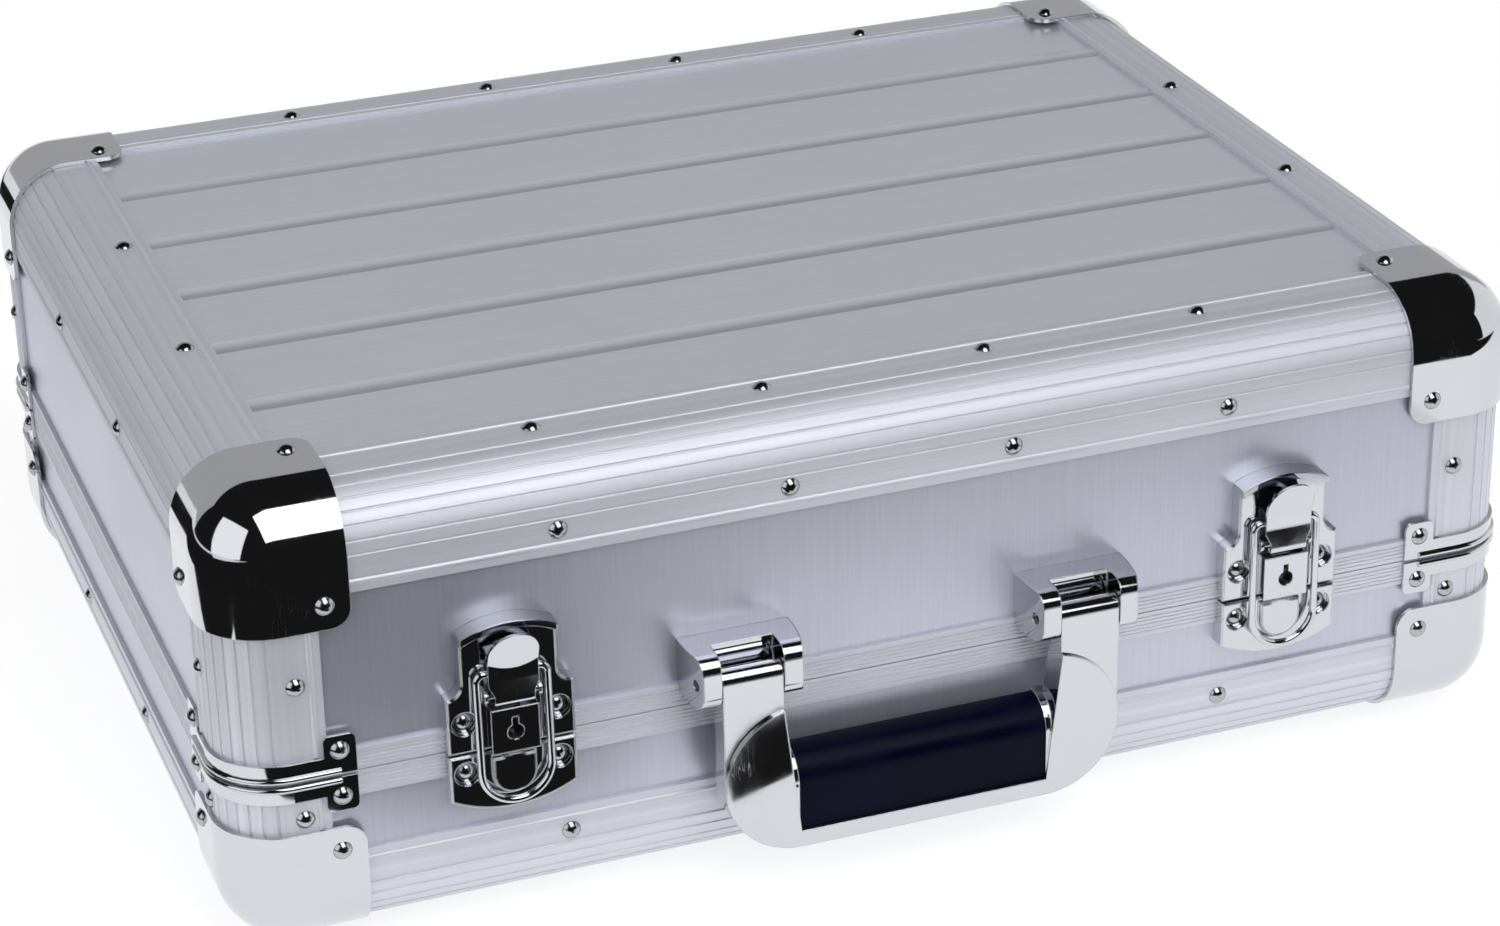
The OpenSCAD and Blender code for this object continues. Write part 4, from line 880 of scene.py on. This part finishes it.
class FLIGHTCASE_OT_stage(bpy.types.Operator):
    """Lays the floor, and sets up the lamps, the cards and the camera"""

    bl_idname = "flightcase.stage"
    bl_label = "Studio"

    def execute(self, context):
        studio = context.scene.flight_case_studio
        self.floor(studio)
        self.cards(studio)
        self.lamps(studio)
        self.world(context, studio)
        self.camera(context, studio)
        context.scene.view_settings.view_transform = "Standard"
        return {"FINISHED"}

    def sheet(self, name, corners, finish):
        """A flat stage sheet between its corners."""
        mesh = bpy.data.meshes.new(name)
        mesh.from_pydata([tuple(corner) for corner in corners], [], [tuple(range(len(corners)))])
        mesh.materials.append(finish)
        card = bpy.data.objects.new(name, mesh)
        bpy.context.scene.collection.objects.link(card)
        return card

    def floor(self, studio):
        half = studio.floor_size / 2
        finish, board, shader = blank_finish("Studio floor")
        board.put(shader, "Base Color", tuple(studio.floor_colour))
        board.put(shader, "Roughness", 0.9)
        board.put(shader, "Emission Color", (1.0, 1.0, 1.0))
        glow = board.range(seen_straight(board), 0, 1, 0.0, studio.floor_lift)
        board.put(shader, "Emission Strength", glow)
        self.sheet("Studio floor", oblong(0, -half, half, -half, half), finish)

    def cards(self, studio):
        """Cards round the case that only its metals mirror, as in a photographer's tent.

        Black ones stand beyond the front lamp and on the left and hang overhead, and a grey one
        stands behind. On the floor lie a black one in front, closer on the left, small black ones
        that the handle and the right latch lever mirror, a black one on the left, and one in front
        of the handle that goes from dark on the left to white on the right.
        """
        side, front, back, roof = 2.4, -2.4, 2.1, 1.95
        low, lowest = 0.003, 0.002
        black, grey = (0.012, 0.012), (studio.backdrop_tone, studio.backdrop_tone)
        for name, tones, corners in (
            ("Low card", black, level(
                low, (-1.5, front), (2, front), (2, -0.5), (-0.058, -0.5), (-0.058, -0.268),
                (-0.09, -0.245), (-0.15, -0.245), (-0.2, -0.285), (-1.5, -0.285))),
            ("Handle card", black, level(
                low, (-0.006, -0.312), (-0.022, -0.303), (-0.031, -0.294), (-0.042, -0.278),
                (-0.047, -0.257), (-0.012, -0.27), (-0.006, -0.272))),
            ("Lever card", black, oblong(low, 0.21, 0.3, -0.5, -0.452)),
            ("Middle card", (0.08, 0.95), oblong(lowest, -0.058, 0.34, -0.5, -0.378)),
            ("Side floor card", black, oblong(low, -side, -0.44, -0.285, back)),
            ("Far card", black, screen(front, -3, 3, low, 3)),
            ("High card", black, oblong(roof, -side, side, front, back)),
            ("Left card", black, [
                (-2.2, -0.5, 0.1), (-2.2, 1.9, 0.1), (-2.2, 1.9, 2.6), (-2.2, -0.5, 2.6)]),
            ("Back card", grey, screen(1.9, -side, 3.4, 0.3, roof)),
        ):
            self.card(name, tones, corners)

    def card(self, name, tones, corners):
        """A glowing card with one tone at its left end and one at its right, seen only in reflections."""
        finish, board, glow = blank_finish(name, "ShaderNodeEmission")
        across = board.add("ShaderNodeSeparateXYZ", {0: object_place(board)}).outputs[0]
        ends = [corner[0] for corner in corners]
        board.put(glow, "Color", board.range(across, min(ends), max(ends), *tones))
        board.put(glow, "Strength", 1.0)
        card = self.sheet(name, corners, finish)
        card.visible_camera = False
        card.visible_diffuse = False
        card.visible_shadow = False
        card.visible_transmission = False

    def lamps(self, studio):
        """Two soft lamps, aimed at the front left upper corner of the case's box.

        Each is placed by its azimuth from straight ahead, its elevation and its distance. The lamp
        itself lights the matt part of a surface; metals mirror a card in its place, which reaches
        from its foot to its head in half heights of the lamp. The front lamp's card starts higher
        than the lamp itself, so that the case's top doesn't glare from behind.
        """
        aim = Vector((BOX_LOW.x, BOX_LOW.y, BOX_HIGH.z))
        for name, azimuth, elevation, distance, width, height, power, tone, foot, head in (
            ("Front lamp", 21, 40, 1.3, 0.85, 1.3, studio.front_power, studio.front_tone, -0.55, 1.3),
            ("Side lamp", -66, 24, 1.2, 1.2, 1.2, studio.side_power, studio.side_tone, -1, 1),
        ):
            turn, rise = math.radians(azimuth), math.radians(elevation)
            flat = math.cos(rise)
            way = Vector((math.sin(turn) * flat, -math.cos(turn) * flat, math.sin(rise)))
            facing = (-way).to_track_quat("-Z", "Y")
            place = aim + distance * way
            lamp = bpy.data.lights.new(name, "AREA")
            lamp.shape = "RECTANGLE"
            lamp.size, lamp.size_y = width, height
            lamp.energy = power
            holder = bpy.data.objects.new(name, lamp)
            bpy.context.scene.collection.objects.link(holder)
            holder.location = place
            holder.rotation_mode = "QUATERNION"
            holder.rotation_quaternion = facing
            holder.visible_camera = False
            holder.visible_glossy = False
            corners = [place + facing @ Vector((x * width / 2, y * height / 2, 0))
                       for x, y in ((-1, foot), (1, foot), (1, head), (-1, head))]
            self.card(name + " glow", (tone, tone), corners)

    def world(self, context, studio):
        """White all round for what the camera and the bright metals see, and soft light on the rest."""
        world = bpy.data.worlds.new("Studio light")
        context.scene.world = world
        board, light = blank_board(world, "ShaderNodeBackground", "ShaderNodeOutputWorld")
        board.put(light, "Color", (1, 1, 1))
        board.put(light, "Strength", board.range(seen_straight(board), 0, 1, studio.ambient, 1.0))

    def camera(self, context, studio):
        """The photograph's viewpoint, with its upward direction squared to the other two."""
        lens = bpy.data.cameras.new("Studio camera")
        lens.sensor_width = 36
        lens.lens = studio.focal_pixels / studio.frame_width * lens.sensor_width
        lens.clip_start, lens.clip_end = 0.05, 60
        right = CAMERA_RIGHT.normalized()
        forward = CAMERA_FORWARD.normalized()
        forward = (forward - right * forward.dot(right)).normalized()
        up = right.cross(forward)
        turn = Matrix((right, up, -forward)).transposed().to_4x4()
        viewpoint = bpy.data.objects.new("Studio camera", lens)
        context.scene.collection.objects.link(viewpoint)
        viewpoint.matrix_world = Matrix.Translation(CAMERA_PLACE) @ turn
        context.scene.camera = viewpoint


class FLIGHTCASE_PT_sidebar(bpy.types.Panel):
    """Lists the steps that finish the case"""

    bl_idname = "FLIGHTCASE_PT_sidebar"
    bl_label = "Flight case"
    bl_space_type = "VIEW_3D"
    bl_region_type = "UI"
    bl_category = "Flight case"

    def draw(self, context):
        for operator in STEPS:
            self.layout.operator(operator.bl_idname)
        for settings in SETTINGS:
            group = getattr(context.scene, settings)
            box = self.layout.box()
            for name in group.bl_rna.properties.keys():
                if name not in ("rna_type", "name"):
                    box.prop(group, name)


STEPS = [
    FLIGHTCASE_OT_stage,
    FLIGHTCASE_OT_panels,
    FLIGHTCASE_OT_edges,
    FLIGHTCASE_OT_fittings,
    FLIGHTCASE_OT_latches,
    FLIGHTCASE_OT_levers,
    FLIGHTCASE_OT_handle,
    FLIGHTCASE_OT_feet,
    FLIGHTCASE_OT_foam,
]
SETTINGS = {
    "flight_case_finish": FlightCaseFinish,
    "flight_case_levers": FlightCaseLevers,
    "flight_case_foam": FlightCaseFoam,
    "flight_case_studio": FlightCaseStudio,
}


def register():
    for part in [*SETTINGS.values(), *STEPS, FLIGHTCASE_PT_sidebar]:
        bpy.utils.register_class(part)
    for settings, group in SETTINGS.items():
        setattr(bpy.types.Scene, settings, PointerProperty(type=group))


def unregister():
    for settings in reversed(SETTINGS):
        delattr(bpy.types.Scene, settings)
    for part in reversed([*SETTINGS.values(), *STEPS, FLIGHTCASE_PT_sidebar]):
        bpy.utils.unregister_class(part)


def main():
    register()
    for step in STEPS:
        family, name = step.bl_idname.split(".")
        getattr(getattr(bpy.ops, family), name)()


if __name__ == "__main__":
    main()
